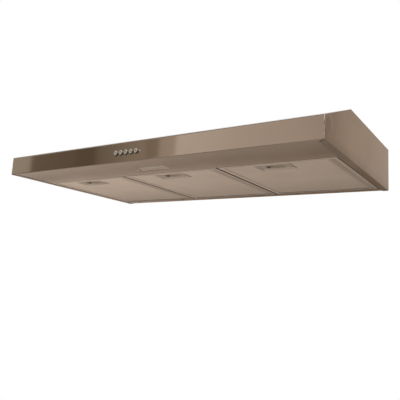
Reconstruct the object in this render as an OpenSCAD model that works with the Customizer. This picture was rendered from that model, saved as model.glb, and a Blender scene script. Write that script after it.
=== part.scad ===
// Slim range hood for fixing under a wall cabinet, with three grease filters and two fans.
// The origin is the middle of the four cabinet screws, on the upper face of the hood.

/* [Body] */
// Width of the hood
body_w = 900; // [880:5:1000]
// Depth from the fascia to the wall
body_d = 500; // [500:5:540]
// Height from the lower edge to the upper face
body_h = 111; // [109:1:125]
// Height of the upright fascia
fascia_h = 48.5; // [46:0.5:56]
// Depth of the sloping part of the top
slope_d = 160; // [130:5:165]
// Thickness of the steel sheet
sheet = 0.8; // [0.6:0.1:1.2]
// Radius of the folds, at the middle of the sheet
fold_r = 1.6; // [1.2:0.1:2.4]
// Depth of the lower front strip that holds the lamp
strip_d = 128; // [124:1:132]
// Height of the upright lip behind the front strip
strip_lip_h = 13; // [12.5:0.5:16]
// Depth of the lower rear flange that carries the filters
rear_flange_d = 28; // [24:1:32]
// Width of the inward flanges under the side panels
side_flange_w = 15; // [12:1:16]
// Width of the hidden flanges that join the sheets
join_flange_w = 12; // [10:1:16]

/* [Fixing] */
// Distance from the wall to the middle of the cabinet screws
mount_from_wall = 175; // [170:1:190]
// Distance between the cabinet screws along the width
mount_x = 790; // [780:5:820]
// Distance between the cabinet screws along the depth
mount_y = 240; // [220:5:250]
// Diameter of the cabinet screw holes
mount_hole = 5.5; // [4.5:0.5:6.5]
// Distance between the two wall screws
wall_x = 660; // [600:10:700]
// Height of the wall screws above the lower edge
wall_z = 86; // [70:1:95]
// Diameter of the wall screw holes
wall_hole = 6; // [5:0.5:8]

/* [Filters] */
// Gap between neighbouring filters
filter_gap = 3; // [2:0.5:5]
// Gap between a filter and the front lip, the rear flange or a side flange
filter_clear = 1; // [1:0.1:1.6]
// Thickness of a filter
filter_h = 9; // [8:0.5:10]
// Height of a filter's lower face above the lower edge
filter_z = 1.2; // [1:0.1:2]
// Width of the channel frame round a filter
filter_band = 11; // [9:1:14]
// Thickness of the filter frame and of its mesh faces
filter_sheet = 0.8; // [0.6:0.1:1]
// Distance between the two rear hooks of a filter
hook_x = 180; // [140:10:200]
// Width of the neck of a hook
hook_w = 12; // [8:1:16]
// Radius of the rolled ear at the end of a hook
ear_r = 1.6; // [1.2:0.1:2]

/* [Filter handles] */
// Width of the recessed handle
handle_w = 88; // [80:1:96]
// Depth of the recessed handle
handle_d = 43; // [41:1:50]
// Distance of the handle behind the front edge of the filter
handle_back = 21; // [18:1:30]
// How far the handle lies left of the middle of its filter
handle_left = 14; // [0:1:20]
// How far the sloping walls of the handle lean inwards
handle_lean = 3; // [2:0.5:4]
// Wall of the moulded handle
handle_wall = 1.2; // [1:0.1:1.5]
// Depth of the dish of the handle
dish_depth = 2.4; // [2:0.1:3.5]
// Width of the finger pocket in the handle
slot_w = 44; // [36:1:50]
// Depth of the finger pocket in the handle
slot_d = 23; // [20:1:23]
// Travel of the latch
latch_travel = 6; // [4:0.5:7]

/* [Controls] */
// Distance between neighbouring buttons
button_pitch = 15.5; // [15:0.5:18]
// Diameter of a button
button_dia = 11.2; // [9:0.1:12]
// How far a button stands out of the fascia
button_out = 4.5; // [4:0.5:6]
// Travel of a button
button_travel = 3.5; // [2:0.5:3.5]
// Height of the buttons above the lower edge
button_z = 23.5; // [21:0.5:27]
// Place of the middle button, left of the middle of the hood
button_left = 25.5; // [15:0.5:35]
// Diameter of the indicator lamp
indicator_dia = 4; // [3:0.5:5]

/* [Lamp] */
// Width of the lamp window
lamp_w = 100; // [90:1:110]
// Depth of the lamp window
lamp_d = 36; // [32:1:40]
// How far the lens lies above the lower face of the front strip
lamp_recess = 6; // [4:0.5:7]
// Distance of the lamp window behind the fascia
lamp_back = 61; // [60:0.5:62]
// Place of the lamp window, left of the middle of the hood
lamp_left = 13; // [5:1:20]
// Width of the reflector tray over the lamp window
tray_w = 210; // [200:1:220]
// Depth of the reflector tray
tray_d = 88; // [84:1:90]
// Diameter of the tubular bulb
bulb_dia = 25; // [22:1:26]
// Length of the tubular bulb
bulb_l = 85; // [75:1:90]

/* [Fans] */
// Distance between the two fan shafts
fan_x = 430; // [420:5:450]
// Distance of the fan shafts from the fascia
fan_back = 325; // [320:1:330]
// Radius of the fan wheel
wheel_r = 75; // [65:1:76]
// Height of the fan wheel above the inlet plate
wheel_rise = 16; // [14:1:20]
// Number of blades of a fan wheel
blade_count = 36; // [24:1:40]
// Radial length of a blade
blade_l = 16; // [12:1:18]
// Thickness of a blade
blade_t = 1.2; // [1:0.1:1.6]
// Gap between the fan wheel and the tongue of its scroll
tongue_gap = 7; // [5:0.5:8]
// How far the scroll grows in one turn
scroll_growth = 48; // [40:1:50]
// Wall of the moulded scroll and inlet plate
scroll_wall = 2; // [1.5:0.5:2.5]
// Gap between the filter rails and the finger guard of the inlet
guard_gap = 3.4; // [2:0.2:6]
// Radius of the air inlet
inlet_r = 64; // [54:1:65]
// Radius of the motor can
motor_r = 38; // [32:1:40]
// Height of the motor can
motor_h = 32; // [28:1:34]
// Diameter of the motor shaft
shaft_dia = 8; // [6:0.5:10]
// Radial running clearance of the shaft in its bearing
shaft_clear = 0.05; // [0.02:0.01:0.1]

/* [Duct] */
// Outer diameter of the duct collar
collar_dia = 120; // [110:1:124]
// Wall of the duct collar
collar_wall = 1.8; // [1.4:0.1:2.4]
// Height of the duct collar
collar_h = 35; // [30:1:40]
// Distance of the duct collar from the fascia
collar_back = 330; // [328:1:334]
// Width of the flange round the duct collar
collar_flange_w = 14; // [12:1:16]
// Half the width of the outlet box
outlet_half_w = 85; // [82:1:88]

/* [Hidden] */
$fn = 64;
FASTENER_FN = 24;

steel = "#9a8673";
dark_steel = "#5c4a38";
aluminium = "#a5968a";
chrome = "#d8d4ce";
plastic = "#3a3734";
pale_plastic = "#d9d2c6";

// Places measured from the middle of the lower front edge, as on a bench
bottom_z = -body_h;
front_y = mount_from_wall - body_d;
inner_w = body_w - 2 * sheet;
strip_z = sheet;
top_under = body_h - sheet;
slope_angle = atan((body_h - fascia_h) / slope_d);
fold_steps = 4;
seat_gap = 0.3;
lap_gap = 0.05;

// Filters
filter_span = body_w - 2 * side_flange_w - 2 * filter_clear;
filter_w = (filter_span - 2 * filter_gap) / 3;
filter_pitch = filter_w + filter_gap;
filter_front = strip_d + filter_clear;
filter_rear = body_d - rear_flange_d - filter_clear;
filter_top = filter_z + filter_h;
ear_y = body_d - rear_flange_d + 8;
ear_z = strip_z + sheet + seat_gap + ear_r;
ear_l = hook_w + 10;
notch_clear = 1.5;
handle_y = filter_front + handle_back + handle_d / 2;
slot_back = 10.5;
slot_front = handle_y - handle_d / 2 + slot_back;
latch_t = 1.2;
latch_lip_t = 2.5;
latch_lip_up = 1;
latch_nose_w = 24;
latch_nose_gap = 0.4;
latch_lap = 3;
rail_w = 16;
rail_h = 8;
rail_foot = 8;
rail_z = filter_top + seat_gap;

// Controls
button_step = [-2, -1, 0, 1, 2];
button_clear = 0.3;
switch_front = sheet;
switch_d = 24;
switch_h = 28;
button_in = 6;
bezel_w = 1.5;
bezel_t = 1.2;
indicator_step = 2.7;
lens_clear = 0.1;

// Lamp
lamp_wall = 1.6;
lamp_y = lamp_back + lamp_d / 2;
lens_z = strip_z + lamp_recess;
bulb_gap = 2.5;
bulb_z = lens_z + lamp_wall + bulb_gap + bulb_dia / 2;
socket_r = 13;
socket_l = 34;
socket_foot_w = 16;
cap_r = 7;
cap_l = 24;
cap_clear = 0.3;
bulb_start = -(bulb_l - cap_l) / 2;
tray_h = bulb_z + socket_r + 1.5;
tray_lean = 6;
tray_x = -lamp_left - 30;

// Fans
guard_t = 2.5;
guard_rings = 4;
guard_drop = 3;
foot_h = guard_drop;
guard_z = rail_z + sheet + rail_h + guard_gap;
scroll_top = top_under;
scroll_bottom = guard_z + guard_t + guard_drop;
scroll_h = scroll_top - scroll_bottom;
scroll_r = wheel_r + tongue_gap;
tongue_angle = 50;
scroll_steps = 40;
channel_in = scroll_r * sin(tongue_angle);
channel_out = scroll_r + scroll_growth;
channel_end = fan_x / 2 - outlet_half_w;
wheel_drop = 10;
wheel_top = scroll_top - wheel_drop;
wheel_bottom = scroll_bottom + wheel_rise;
wheel_h = wheel_top - wheel_bottom;
wheel_plate = 2;
hub_gap = 4;
blade_sweep = 15;
hub_r = motor_r + hub_gap + wheel_plate;
blade_margin = 1;
motor_top = scroll_top - scroll_wall;
motor_flange_r = motor_r + 6;
motor_flange_t = 2;
motor_bottom = motor_top - motor_flange_t - motor_h;
bore_top = motor_top - 8;
shaft_end_gap = 2;
shaft_stub = 3;
hub_floor = motor_bottom - hub_gap - wheel_plate;
boss_r = 11;
boss_h = 8;
nut_h = 5;
nut_r = 8;

// Duct
collar_r = collar_dia / 2;
collar_bore = collar_r - collar_wall;
collar_t = 1.5;
ledge_r = collar_bore - 4;
ledge_z = body_h + collar_t;
ledge_t = 1.5;
flap_t = 1.2;
flap_r = collar_bore - 1;
flap_barrel_r = 1.8;
flap_pin_r = 1.4;
flap_pin_clear = 0.05;
flap_axis_x = 5.5;
flap_axis_z = ledge_z + ledge_t + seat_gap + flap_barrel_r;
bearing_w = 6;
outlet_front = collar_back - collar_r - 6;
outlet_rear = fan_back + channel_out + 2 * scroll_wall;
outlet_wall = 1.5;

// Rivets of the side panels, along the depth
rivet_margin = 35;
rivet_span = body_d - slope_d - 2 * rivet_margin;
rivet_y = [for (i = [0 : 3]) slope_d + rivet_margin + i * rivet_span / 3];
rivet_x = body_w / 2 - sheet - join_flange_w / 2;
rivet_r = 1.6;
rivet_head_r = 3.2;
rivet_head_h = 0.9;

// Moves a piece from the bench to its place under the cabinet
module hang() translate([0, front_y, bottom_z]) children();

// Outline of a bent sheet, from the line along its middle
function unit(v) = v / norm(v);
function left_of(v) = [-v[1], v[0]];
function leg(path, i) = unit(path[i + 1] - path[i]);
function fold_points(path, i, side) =
    let (a = leg(path, i - 1),
         b = leg(path, i),
         turn = sign(cross(a, b)),
         half = acos(a * b) / 2,
         centre = path[i] - a * fold_r * tan(half) + turn * fold_r * left_of(a),
         start = atan2(-turn * left_of(a)[1], -turn * left_of(a)[0]),
         r = fold_r - turn * side * sheet / 2)
    [for (k = [0 : fold_steps])
        let (angle = start + turn * 2 * half * k / fold_steps)
        centre + r * [cos(angle), sin(angle)]];
function sheet_side(path, side) =
    let (last = len(path) - 1)
    [
        path[0] + side * sheet / 2 * left_of(leg(path, 0)),
        for (i = [1 : 1 : last - 1]) each fold_points(path, i, side),
        path[last] + side * sheet / 2 * left_of(leg(path, last - 1))
    ];
function reversed(list) = [for (i = [len(list) - 1 : -1 : 0]) list[i]];
function folded(path) = concat(sheet_side(path, 1), reversed(sheet_side(path, -1)));

// Extrudes an outline drawn in depth and height along the width
module along_width(w) rotate([90, 0, 90]) linear_extrude(w, center = true) children();
// Extrudes an outline drawn in width and height along the depth
module along_depth(from, to) translate([0, to, 0]) rotate([90, 0, 0]) linear_extrude(to - from) children();

function slope_z(y, depth) = fascia_h + tan(slope_angle) * y - depth / cos(slope_angle);

// Upright cylinder that starts at height z
module post(r, z, h, fn = $fn) translate([0, 0, z]) cylinder(r = r, h = h, $fn = fn);

// Block with four leaning walls, widest at z = 0
module tapered(w, d, h, lean) {
    intersection() {
        along_depth(-d / 2, d / 2)
            polygon([[-w / 2, 0], [w / 2, 0], [w / 2 - lean, h], [-w / 2 + lean, h]]);
        along_width(w)
            polygon([[-d / 2, 0], [d / 2, 0], [d / 2 - lean, h], [-d / 2 + lean, h]]);
    }
}
// Tray with leaning walls, open at its wide lower side
module tapered_shell(w, d, h, lean, wall) {
    difference() {
        tapered(w, d, h, lean);
        translate([0, 0, -1])
            tapered(w - 2 * wall, d - 2 * wall, h - wall + 1, lean * (h - wall + 1) / h);
    }
}

// Body sheets

// Notches that clear the folds of the side panels
module corner_relief() {
    for (side = [-1, 1])
        translate([side * (inner_w / 2 + fold_r), body_d / 2, 0])
            cube([4 * fold_r, body_d + 2, 2 * (sheet + fold_r)], center = true);
}

module cabinet_holes() {
    for (x = [-1, 1], y = [-1, 1])
        translate([x * mount_x / 2, body_d - mount_from_wall + y * mount_y / 2, body_h - 3 * sheet])
            cylinder(d = mount_hole, h = 5 * sheet);
}

module rivet_holes() {
    for (side = [-1, 1], y = rivet_y)
        translate([side * rivet_x, y, body_h - 3 * sheet])
            cylinder(r = rivet_r + 0.1, h = 5 * sheet, $fn = FASTENER_FN);
}

grommet_r = 8;
grommet_x = body_w / 2 - 4 * grommet_r;
grommet_y = body_d - 3.5 * grommet_r;

module top_shell() hang() color(steel) {
    front = [sheet / 2, slope_z(sheet / 2, sheet / 2)];
    slope_end = (body_h - sheet / 2 - slope_z(0, sheet / 2)) / tan(slope_angle);
    difference() {
        along_width(inner_w) polygon(folded([
            front,
            [slope_end, body_h - sheet / 2],
            [body_d - 1.5 * sheet, body_h - sheet / 2],
            [body_d - 1.5 * sheet, body_h - join_flange_w]
        ]));
        translate([0, collar_back, top_under - 1]) cylinder(r = collar_bore, h = 4);
        cabinet_holes();
        rivet_holes();
        collar_screw_holes();
        translate([grommet_x, grommet_y, top_under - 1]) cylinder(r = grommet_r + 0.1, h = 4);
    }
}

module button_holes() {
    for (step = button_step)
        translate([step * button_pitch - button_left, 0, button_z]) rotate([-90, 0, 0])
            translate([0, 0, -1]) cylinder(r = button_dia / 2 + button_clear, h = sheet + 2);
    translate([indicator_step * button_pitch - button_left, 0, button_z]) rotate([-90, 0, 0])
        translate([0, 0, -1]) cylinder(r = indicator_dia / 2 + lens_clear, h = sheet + 2);
}

module front_panel() hang() color(steel) {
    bend = [sheet / 2, slope_z(sheet / 2, 1.5 * sheet + lap_gap)];
    return_l = join_flange_w;
    difference() {
        along_width(inner_w) polygon(folded([
            [strip_d - sheet / 2, strip_lip_h],
            [strip_d - sheet / 2, strip_z + sheet / 2],
            [sheet / 2, strip_z + sheet / 2],
            bend,
            bend + return_l * [cos(slope_angle), sin(slope_angle)]
        ]));
        corner_relief();
        button_holes();
        translate([-lamp_left, lamp_y, strip_z + sheet / 2])
            cube([lamp_w, lamp_d, 4 * sheet], center = true);
    }
}

module hook_notches() {
    for (f = [-1, 0, 1], h = [-1, 1])
        translate([f * filter_pitch + h * hook_x / 2, body_d - rear_flange_d, strip_z])
            cube([hook_w + 2 * notch_clear, 2 * (ear_y - body_d + rear_flange_d + notch_clear), 6 * sheet],
                 center = true);
}

module rear_panel() hang() color(steel) {
    difference() {
        along_width(inner_w) polygon(folded([
            [body_d - rear_flange_d, strip_z + sheet / 2],
            [body_d - sheet / 2, strip_z + sheet / 2],
            [body_d - sheet / 2, body_h]
        ]));
        corner_relief();
        hook_notches();
        for (x = [-1, 1])
            translate([x * wall_x / 2, body_d + 1, wall_z]) rotate([90, 0, 0])
                cylinder(d = wall_hole, h = sheet + 2);
    }
}

// Right side panel: an upright sheet with a folded lower flange and hidden joining flanges
module side_panel() {
    outer_x = body_w / 2;
    intersection() {
        along_depth(0, body_d) polygon(folded([
            [outer_x - side_flange_w, sheet / 2],
            [outer_x - sheet / 2, sheet / 2],
            [outer_x - sheet / 2, body_h]
        ]));
        translate([outer_x - side_flange_w, 0, 0]) side_silhouette(side_flange_w);
    }
    difference() {
        translate([outer_x - sheet - join_flange_w, slope_d + join_flange_w, top_under - sheet])
            cube([join_flange_w, body_d - slope_d - join_flange_w - 2 * sheet - 2 * fold_r, sheet]);
        rivet_holes();
    }
    translate([outer_x - sheet - join_flange_w, sheet, 6 * sheet])
        cube([join_flange_w, sheet, fascia_h - 12 * sheet]);
}

// Outline of the hood seen from its side, with the mitred front corner of the flange
module side_silhouette(w) {
    difference() {
        rotate([90, 0, 90]) linear_extrude(w)
            polygon([[0, 0], [0, fascia_h], [slope_d, body_h], [body_d, body_h], [body_d, 0]]);
        translate([0, 0, -1]) linear_extrude(sheet + 1)
            polygon([[-1, -1], [w - 2 * sheet, -1], [w - 2 * sheet, 0], [-1, w - 2 * sheet + 1]]);
    }
}

module side_panel_left() hang() color(steel) mirror([1, 0, 0]) side_panel();
module side_panel_right() hang() color(steel) side_panel();

// Hat rail that covers the gap between two filters from above
module filter_rail(side) {
    z = rail_z + sheet / 2;
    translate([side * filter_pitch / 2, 0, 0])
        along_depth(strip_d, body_d - sheet) polygon(folded([
            [-rail_w / 2 - rail_foot, z],
            [-rail_w / 2, z],
            [-rail_w / 2, z + rail_h],
            [rail_w / 2, z + rail_h],
            [rail_w / 2, z],
            [rail_w / 2 + rail_foot, z]
        ]));
}
module filter_rail_left() hang() color(dark_steel) filter_rail(-1);
module filter_rail_right() hang() color(dark_steel) filter_rail(1);

module shell_rivets() hang() color(chrome) {
    for (side = [-1, 1], y = rivet_y)
        translate([side * rivet_x, y, body_h]) {
            rotate_extrude($fn = FASTENER_FN) polygon([
                [0, -2 * sheet], [rivet_r, -2 * sheet], [rivet_r, 0], [rivet_head_r, 0],
                [rivet_head_r * 0.8, rivet_head_h * 0.7], [0, rivet_head_h]
            ]);
        }
}

// Lamp

// Hat-shaped cover: the lens, upright walls, a rim on the front strip and four clips
module lamp_cover() hang() color(pale_plastic) {
    rim_w = 7;
    clip_w = 14;
    clip_t = 1.4;
    clip_h = 4;
    walls_w = lamp_w - 2 * seat_gap;
    walls_d = lamp_d - 2 * seat_gap;
    rim_z = strip_z + sheet;
    translate([-lamp_left, lamp_y, 0]) {
        difference() {
            union() {
                translate([-lamp_w / 2 - rim_w, -lamp_d / 2 - rim_w, rim_z])
                    cube([lamp_w + 2 * rim_w, lamp_d + 2 * rim_w, lamp_wall]);
                translate([-walls_w / 2 - lamp_wall, -walls_d / 2 - lamp_wall, rim_z])
                    cube([walls_w + 2 * lamp_wall, walls_d + 2 * lamp_wall, lens_z + lamp_wall - rim_z]);
            }
            translate([-walls_w / 2, -walls_d / 2, 0]) cube([walls_w, walls_d, lens_z]);
        }
        for (x = [-1, 1], y = [-1, 1])
            translate([x * lamp_w / 3, y * (lamp_d / 2 + rim_w - clip_t), rim_z + lamp_wall + clip_h / 2])
                cube([clip_w, clip_t, clip_h + 0.2], center = true);
    }
}

module lamp_tray() hang() color(aluminium) {
    difference() {
        translate([tray_x, lamp_y, strip_z + sheet]) {
            tapered_shell(tray_w, tray_d, tray_h, tray_lean, sheet);
            for (side = [-1, 1])
                translate([side * (tray_w + join_flange_w - sheet) / 2, 0, sheet / 2])
                    cube([join_flange_w, tray_d / 2, sheet], center = true);
        }
        post_at([lamp_lead_x, lamp_y], tray_h, 2 * sheet + 2);
    }
}

module lamp_socket() hang() color(plastic) {
    rib_w = 2;
    rib_out = 0.6;
    foot_z = bulb_z + socket_r * 0.6;
    translate([-lamp_left + bulb_start, lamp_y, bulb_z]) rotate([0, -90, 0]) {
        difference() {
            cylinder(r = socket_r, h = socket_l);
            translate([0, 0, -1]) cylinder(r = cap_r + cap_clear, h = cap_l + 2);
        }
        for (i = [1, 2])
            translate([0, 0, 4 * rib_w * i]) rotate_extrude()
                translate([socket_r - rib_out, 0]) square([2 * rib_out, rib_w]);
    }
    translate([-lamp_left + bulb_start - socket_l, lamp_y - socket_foot_w / 2, foot_z])
        cube([socket_foot_w, socket_foot_w, strip_z + tray_h - foot_z]);
}

module lamp_bulb() hang() color("#efe7d6") {
    neck = 8;
    neck_r = cap_r + 1;
    r = bulb_dia / 2;
    translate([-lamp_left + bulb_start, lamp_y, bulb_z]) rotate([0, 90, 0]) rotate_extrude()
        polygon(concat(
            [[0, -cap_l], [cap_r, -cap_l], [cap_r, 0], [neck_r, 1]],
            [for (i = [0 : 4]) [neck_r + (r - neck_r) * sin(22.5 * i), 1 + neck * (1 - cos(22.5 * i))]],
            [for (i = [0 : 8]) [r * cos(11.25 * i), bulb_l - cap_l - r + r * sin(11.25 * i)]]
        ));
}

// Controls

module switch_body() hang() color(plastic) {
    margin = 7;
    ear_w = 10;
    ear_h = 12;
    ear_t = 3;
    well_d = button_in + button_travel + 2;
    tab_w = 4.8;
    tab_l = 6;
    tab_t = 0.8;
    w = 6 * button_pitch + 2 * margin;
    x = button_pitch / 2 - button_left;
    difference() {
        union() {
            translate([x - w / 2, switch_front, button_z - switch_h / 2]) cube([w, switch_d, switch_h]);
            translate([x - w / 2 - ear_w, switch_front, button_z - ear_h / 2])
                cube([w + 2 * ear_w, ear_t, ear_h]);
        }
        for (step = button_step)
            translate([step * button_pitch - button_left, switch_front - 1, button_z]) rotate([-90, 0, 0])
                cylinder(r = button_dia / 2 + button_clear, h = well_d + 1);
        translate([indicator_step * button_pitch - button_left, switch_front - 1, button_z])
            rotate([-90, 0, 0]) cylinder(r = indicator_dia / 2 + lens_clear, h = button_in + 1);
    }
    for (step = [-2 : 3])
        translate([step * button_pitch - button_left - tab_w / 2, switch_front + switch_d - 0.1,
                   button_z - switch_h / 4])
            cube([tab_w, tab_l, tab_t]);
}

module button_bezels() hang() color(chrome) {
    inner = button_dia / 2 + button_clear;
    for (step = button_step)
        translate([step * button_pitch - button_left, 0, button_z]) rotate([90, 0, 0])
            rotate_extrude() polygon([
                [inner, 0], [inner + bezel_w, 0], [inner + bezel_w * 0.6, bezel_t], [inner, bezel_t]
            ]);
}

module indicator_lens() hang() color("#b5462e") {
    r = indicator_dia / 2;
    translate([indicator_step * button_pitch - button_left, 0, button_z]) rotate([90, 0, 0])
        rotate_extrude() polygon(concat(
            [[0, -button_in], [r, -button_in], [r, 0.4]],
            [for (i = [1 : 4]) [r * cos(22.5 * i), 0.4 + 1.2 * sin(22.5 * i)]]
        ));
}

// Round button with a dished face and a soft rim
module button(step) {
    r = button_dia / 2;
    rim = 1.2;
    dish = 0.5;
    translate([step * button_pitch - button_left, 0, button_z]) rotate([90, 0, 0])
        rotate_extrude() polygon(concat(
            [[0, -button_in], [r, -button_in]],
            [for (i = [0 : 4]) [r - rim + rim * cos(22.5 * i), button_out - rim + rim * sin(22.5 * i)]],
            [for (i = [1 : 4]) [(r - rim) * (1 - i / 4), button_out - dish * sin(22.5 * i)]]
        ));
}
module button_light() hang() color(chrome) button(-2);
module button_off() hang() color(chrome) button(-1);
module button_speed_1() hang() color(chrome) button(0);
module button_speed_2() hang() color(chrome) button(1);
module button_speed_3() hang() color(chrome) button(2);

// Electrics

terminal_w = 110;
terminal_d = 62;
terminal_h = 30;
terminal_y = slope_d + 14 + terminal_d / 2;
terminal_wall = 1.6;

block_margin = 8;
block_d = 18;
block_front = terminal_y - block_d / 2;

// Leads between the switch, the lamp, the motors and the terminal box
lead_r = 2.2;
elbow_out = 0.5;
fan_elbow_turn = [40, 25, 65];
lead_hole_r = lead_r + seat_gap;
lead_z = top_under - terminal_wall - 9;
fan_lead_z = scroll_top - scroll_wall - lead_hole_r - 0.1;
fan_lead_turn = [terminal_w / 2 + 5, terminal_y];
fan_lead_way = unit([fan_x / 2, fan_back] - fan_lead_turn);
switch_lead_x = button_pitch / 2 - button_left;
lamp_lead_x = -lamp_left + bulb_start - socket_l - 10;
lamp_lead_block_x = switch_lead_x - 4 * lead_r;
slope_lead_y = slope_d - 10;

module post_at(place, z, h) translate([place[0], place[1], z]) cylinder(r = lead_hole_r, h = h);

// Round lead that follows a list of points; the turn places the seams of its elbows
module lead(points, elbow_turn = [0, 0, 0]) {
    for (i = [0 : len(points) - 2])
        let (v = points[i + 1] - points[i])
        translate(points[i]) rotate([0, acos(v[2] / norm(v)), atan2(v[1], v[0])])
            cylinder(r = lead_r, h = norm(v), $fn = FASTENER_FN);
    for (i = [1 : len(points) - 2])
        translate(points[i]) rotate(elbow_turn) sphere(r = lead_r + elbow_out, $fn = FASTENER_FN);
}

module lead_switch() hang() color(plastic) {
    start_z = button_z + switch_h / 4;
    start_y = switch_front + switch_d;
    lead([
        [switch_lead_x, start_y, start_z],
        [switch_lead_x, start_y + 6, start_z],
        [switch_lead_x, start_y + 13, start_z + 18],
        [switch_lead_x, slope_lead_y, lead_z - 4],
        [switch_lead_x, slope_lead_y + 14, lead_z],
        [switch_lead_x, block_front, lead_z]
    ]);
}

module lead_lamp() hang() color(plastic) {
    start_x = -lamp_left + bulb_start - socket_l;
    lead([
        [start_x, lamp_y, bulb_z],
        [lamp_lead_x + 4, lamp_y, bulb_z],
        [lamp_lead_x, lamp_y, bulb_z + 5],
        [lamp_lead_x, lamp_y, bulb_z + 26],
        [lamp_lead_x + 4, lamp_y + 5, bulb_z + 32],
        [lamp_lead_block_x, slope_lead_y, lead_z - 4],
        [lamp_lead_block_x, slope_lead_y + 14, lead_z],
        [lamp_lead_block_x, block_front, lead_z]
    ]);
}

// Lead of one motor: out of the terminal box, through the scroll and under its ceiling to the motor
module lead_fan(side) {
    start_x = side < 0 ? terminal_w / 2 - block_margin : terminal_w / 2 - terminal_wall - 0.8;
    centre = [fan_x / 2, fan_back];
    outside = centre - (scroll_r + scroll_growth / 2 + 12) * fan_lead_way;
    finish = centre - (motor_flange_r + lap_gap) * fan_lead_way;
    mirror([side < 0 ? 1 : 0, 0, 0])
        lead([
            [start_x, terminal_y, lead_z],
            [fan_lead_turn[0], terminal_y, lead_z],
            [outside[0], outside[1], fan_lead_z],
            [finish[0], finish[1], fan_lead_z]
        ], fan_elbow_turn);
}
module lead_fan_left() hang() color(plastic) lead_fan(-1);
module lead_fan_right() hang() color(plastic) lead_fan(1);

module terminal_box() hang() color(pale_plastic) {
    difference() {
        translate([0, terminal_y, top_under - terminal_h / 2]) difference() {
            cube([terminal_w, terminal_d, terminal_h], center = true);
            translate([0, 0, -terminal_wall])
                cube([terminal_w - 2 * terminal_wall, terminal_d - 2 * terminal_wall, terminal_h],
                     center = true);
        }
        for (x = [switch_lead_x, lamp_lead_block_x])
            translate([x, terminal_y, lead_z]) rotate([90, 0, 0])
                cylinder(r = lead_hole_r, h = terminal_d);
        translate([-terminal_w, terminal_y, lead_z]) rotate([0, 90, 0])
            cylinder(r = lead_hole_r, h = 2 * terminal_w);
    }
}

module terminal_box_cover() hang() color(pale_plastic) {
    z = top_under - terminal_h;
    tab_t = 2;
    tab_h = 3;
    translate([0, terminal_y, z - terminal_wall / 2])
        cube([terminal_w, terminal_d, terminal_wall], center = true);
    for (x = [-1, 1])
        translate([x * (terminal_w / 2 - terminal_wall - tab_t), terminal_y, z + tab_h / 2 - 0.1])
            cube([tab_t, terminal_d / 2, tab_h], center = true);
}

module terminal_block() hang() color("#cfc8b8") {
    ways = 5;
    way_w = 8;
    block_h = 14;
    screw_r = 2.6;
    screw_out = 2;
    screw_back = 5;
    translate([block_margin - terminal_w / 2, block_front, top_under - terminal_wall - block_h]) {
        cube([ways * way_w, block_d, block_h]);
        for (i = [0 : ways - 1], y = [screw_back, block_d - screw_back])
            translate([(i + 0.5) * way_w, y, -screw_out])
                cylinder(r = screw_r, h = screw_out + 0.5, $fn = FASTENER_FN);
    }
}

module motor_capacitors() hang() color("#b9b9b4") {
    r = 9;
    can_l = 44;
    gap = 2;
    for (i = [0, 1])
        translate([terminal_w / 2 - terminal_wall - r - 1 - i * (2 * r + gap), terminal_y + can_l / 2,
                   top_under - terminal_wall - r])
            rotate([90, 0, 0]) cylinder(r = r, h = can_l);
}

module cable_grommet() hang() color(plastic) {
    cord_r = 3.6;
    rim = grommet_r + 2;
    rim_t = 1;
    inner_h = 4;
    neck_h = 3;
    translate([grommet_x, grommet_y, body_h]) rotate_extrude() polygon([
        [cord_r, -inner_h], [rim, -inner_h], [rim, -sheet], [grommet_r, -sheet], [grommet_r, 0],
        [rim, 0], [rim, rim_t], [cord_r + 2, neck_h], [cord_r, neck_h]
    ]);
}

// Fans: the left one is drawn round its shaft, and the right one mirrors it

module fan_place(side) {
    translate([side * fan_x / 2, fan_back, 0]) mirror([max(side, 0), 0, 0]) children();
}

function scroll_radius(angle) =
    scroll_r + scroll_growth * (tongue_angle - angle) / (tongue_angle + 270);
function scroll_start(grow) = asin((channel_in - grow) / (scroll_r + grow));
function scroll_outline(grow) = concat(
    [for (i = [0 : scroll_steps])
        let (start = scroll_start(grow),
             angle = start - (start + 270) * i / scroll_steps)
        (scroll_radius(angle) + grow) * [cos(angle), sin(angle)]],
    [[channel_end, channel_out + grow], [channel_end, channel_in - grow]]
);

module scroll() {
    difference() {
        translate([0, 0, scroll_bottom + scroll_wall])
            linear_extrude(scroll_h - scroll_wall) polygon(scroll_outline(scroll_wall));
        translate([0, 0, scroll_bottom]) linear_extrude(scroll_h - scroll_wall) polygon(scroll_outline(0));
        translate([channel_end - 1, channel_in, scroll_bottom])
            cube([2, channel_out - channel_in, scroll_h - scroll_wall]);
        rotate(-atan2(fan_lead_way[1], fan_lead_way[0]))
            translate([scroll_r, 0, fan_lead_z]) rotate([0, 90, 0])
                cylinder(r = lead_hole_r, h = scroll_growth, $fn = FASTENER_FN);
    }
}
module scroll_left() hang() color(dark_steel) fan_place(-1) scroll();
module scroll_right() hang() color(dark_steel) fan_place(1) scroll();

// Flat inlet plate with a bell mouth that leads the air into the wheel
module inlet_plate() {
    bell_h = 6;
    bell_r = 5;
    lip_h = 3;
    lip_t = 1.6;
    outer_r = inlet_r + bell_r;
    difference() {
        translate([0, 0, scroll_bottom]) linear_extrude(scroll_wall) polygon(scroll_outline(scroll_wall));
        translate([0, 0, scroll_bottom - 1]) cylinder(r = outer_r, h = scroll_wall + 2);
    }
    translate([0, 0, scroll_bottom]) rotate_extrude() polygon(concat(
        [[outer_r + 1, 0]],
        [for (i = [1 : 6]) [outer_r - bell_r * sin(15 * i), bell_h * (1 - cos(15 * i))]],
        [[inlet_r, bell_h + lip_h], [inlet_r + lip_t, bell_h + lip_h]],
        [for (i = [6 : -1 : 1])
            [outer_r - (bell_r - lip_t) * sin(15 * i),
             scroll_wall + (bell_h - scroll_wall + lip_h / 2) * (1 - cos(15 * i))]],
        [[outer_r + 1, scroll_wall]]
    ));
}
module inlet_plate_left() hang() color(dark_steel) fan_place(-1) inlet_plate();
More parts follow.
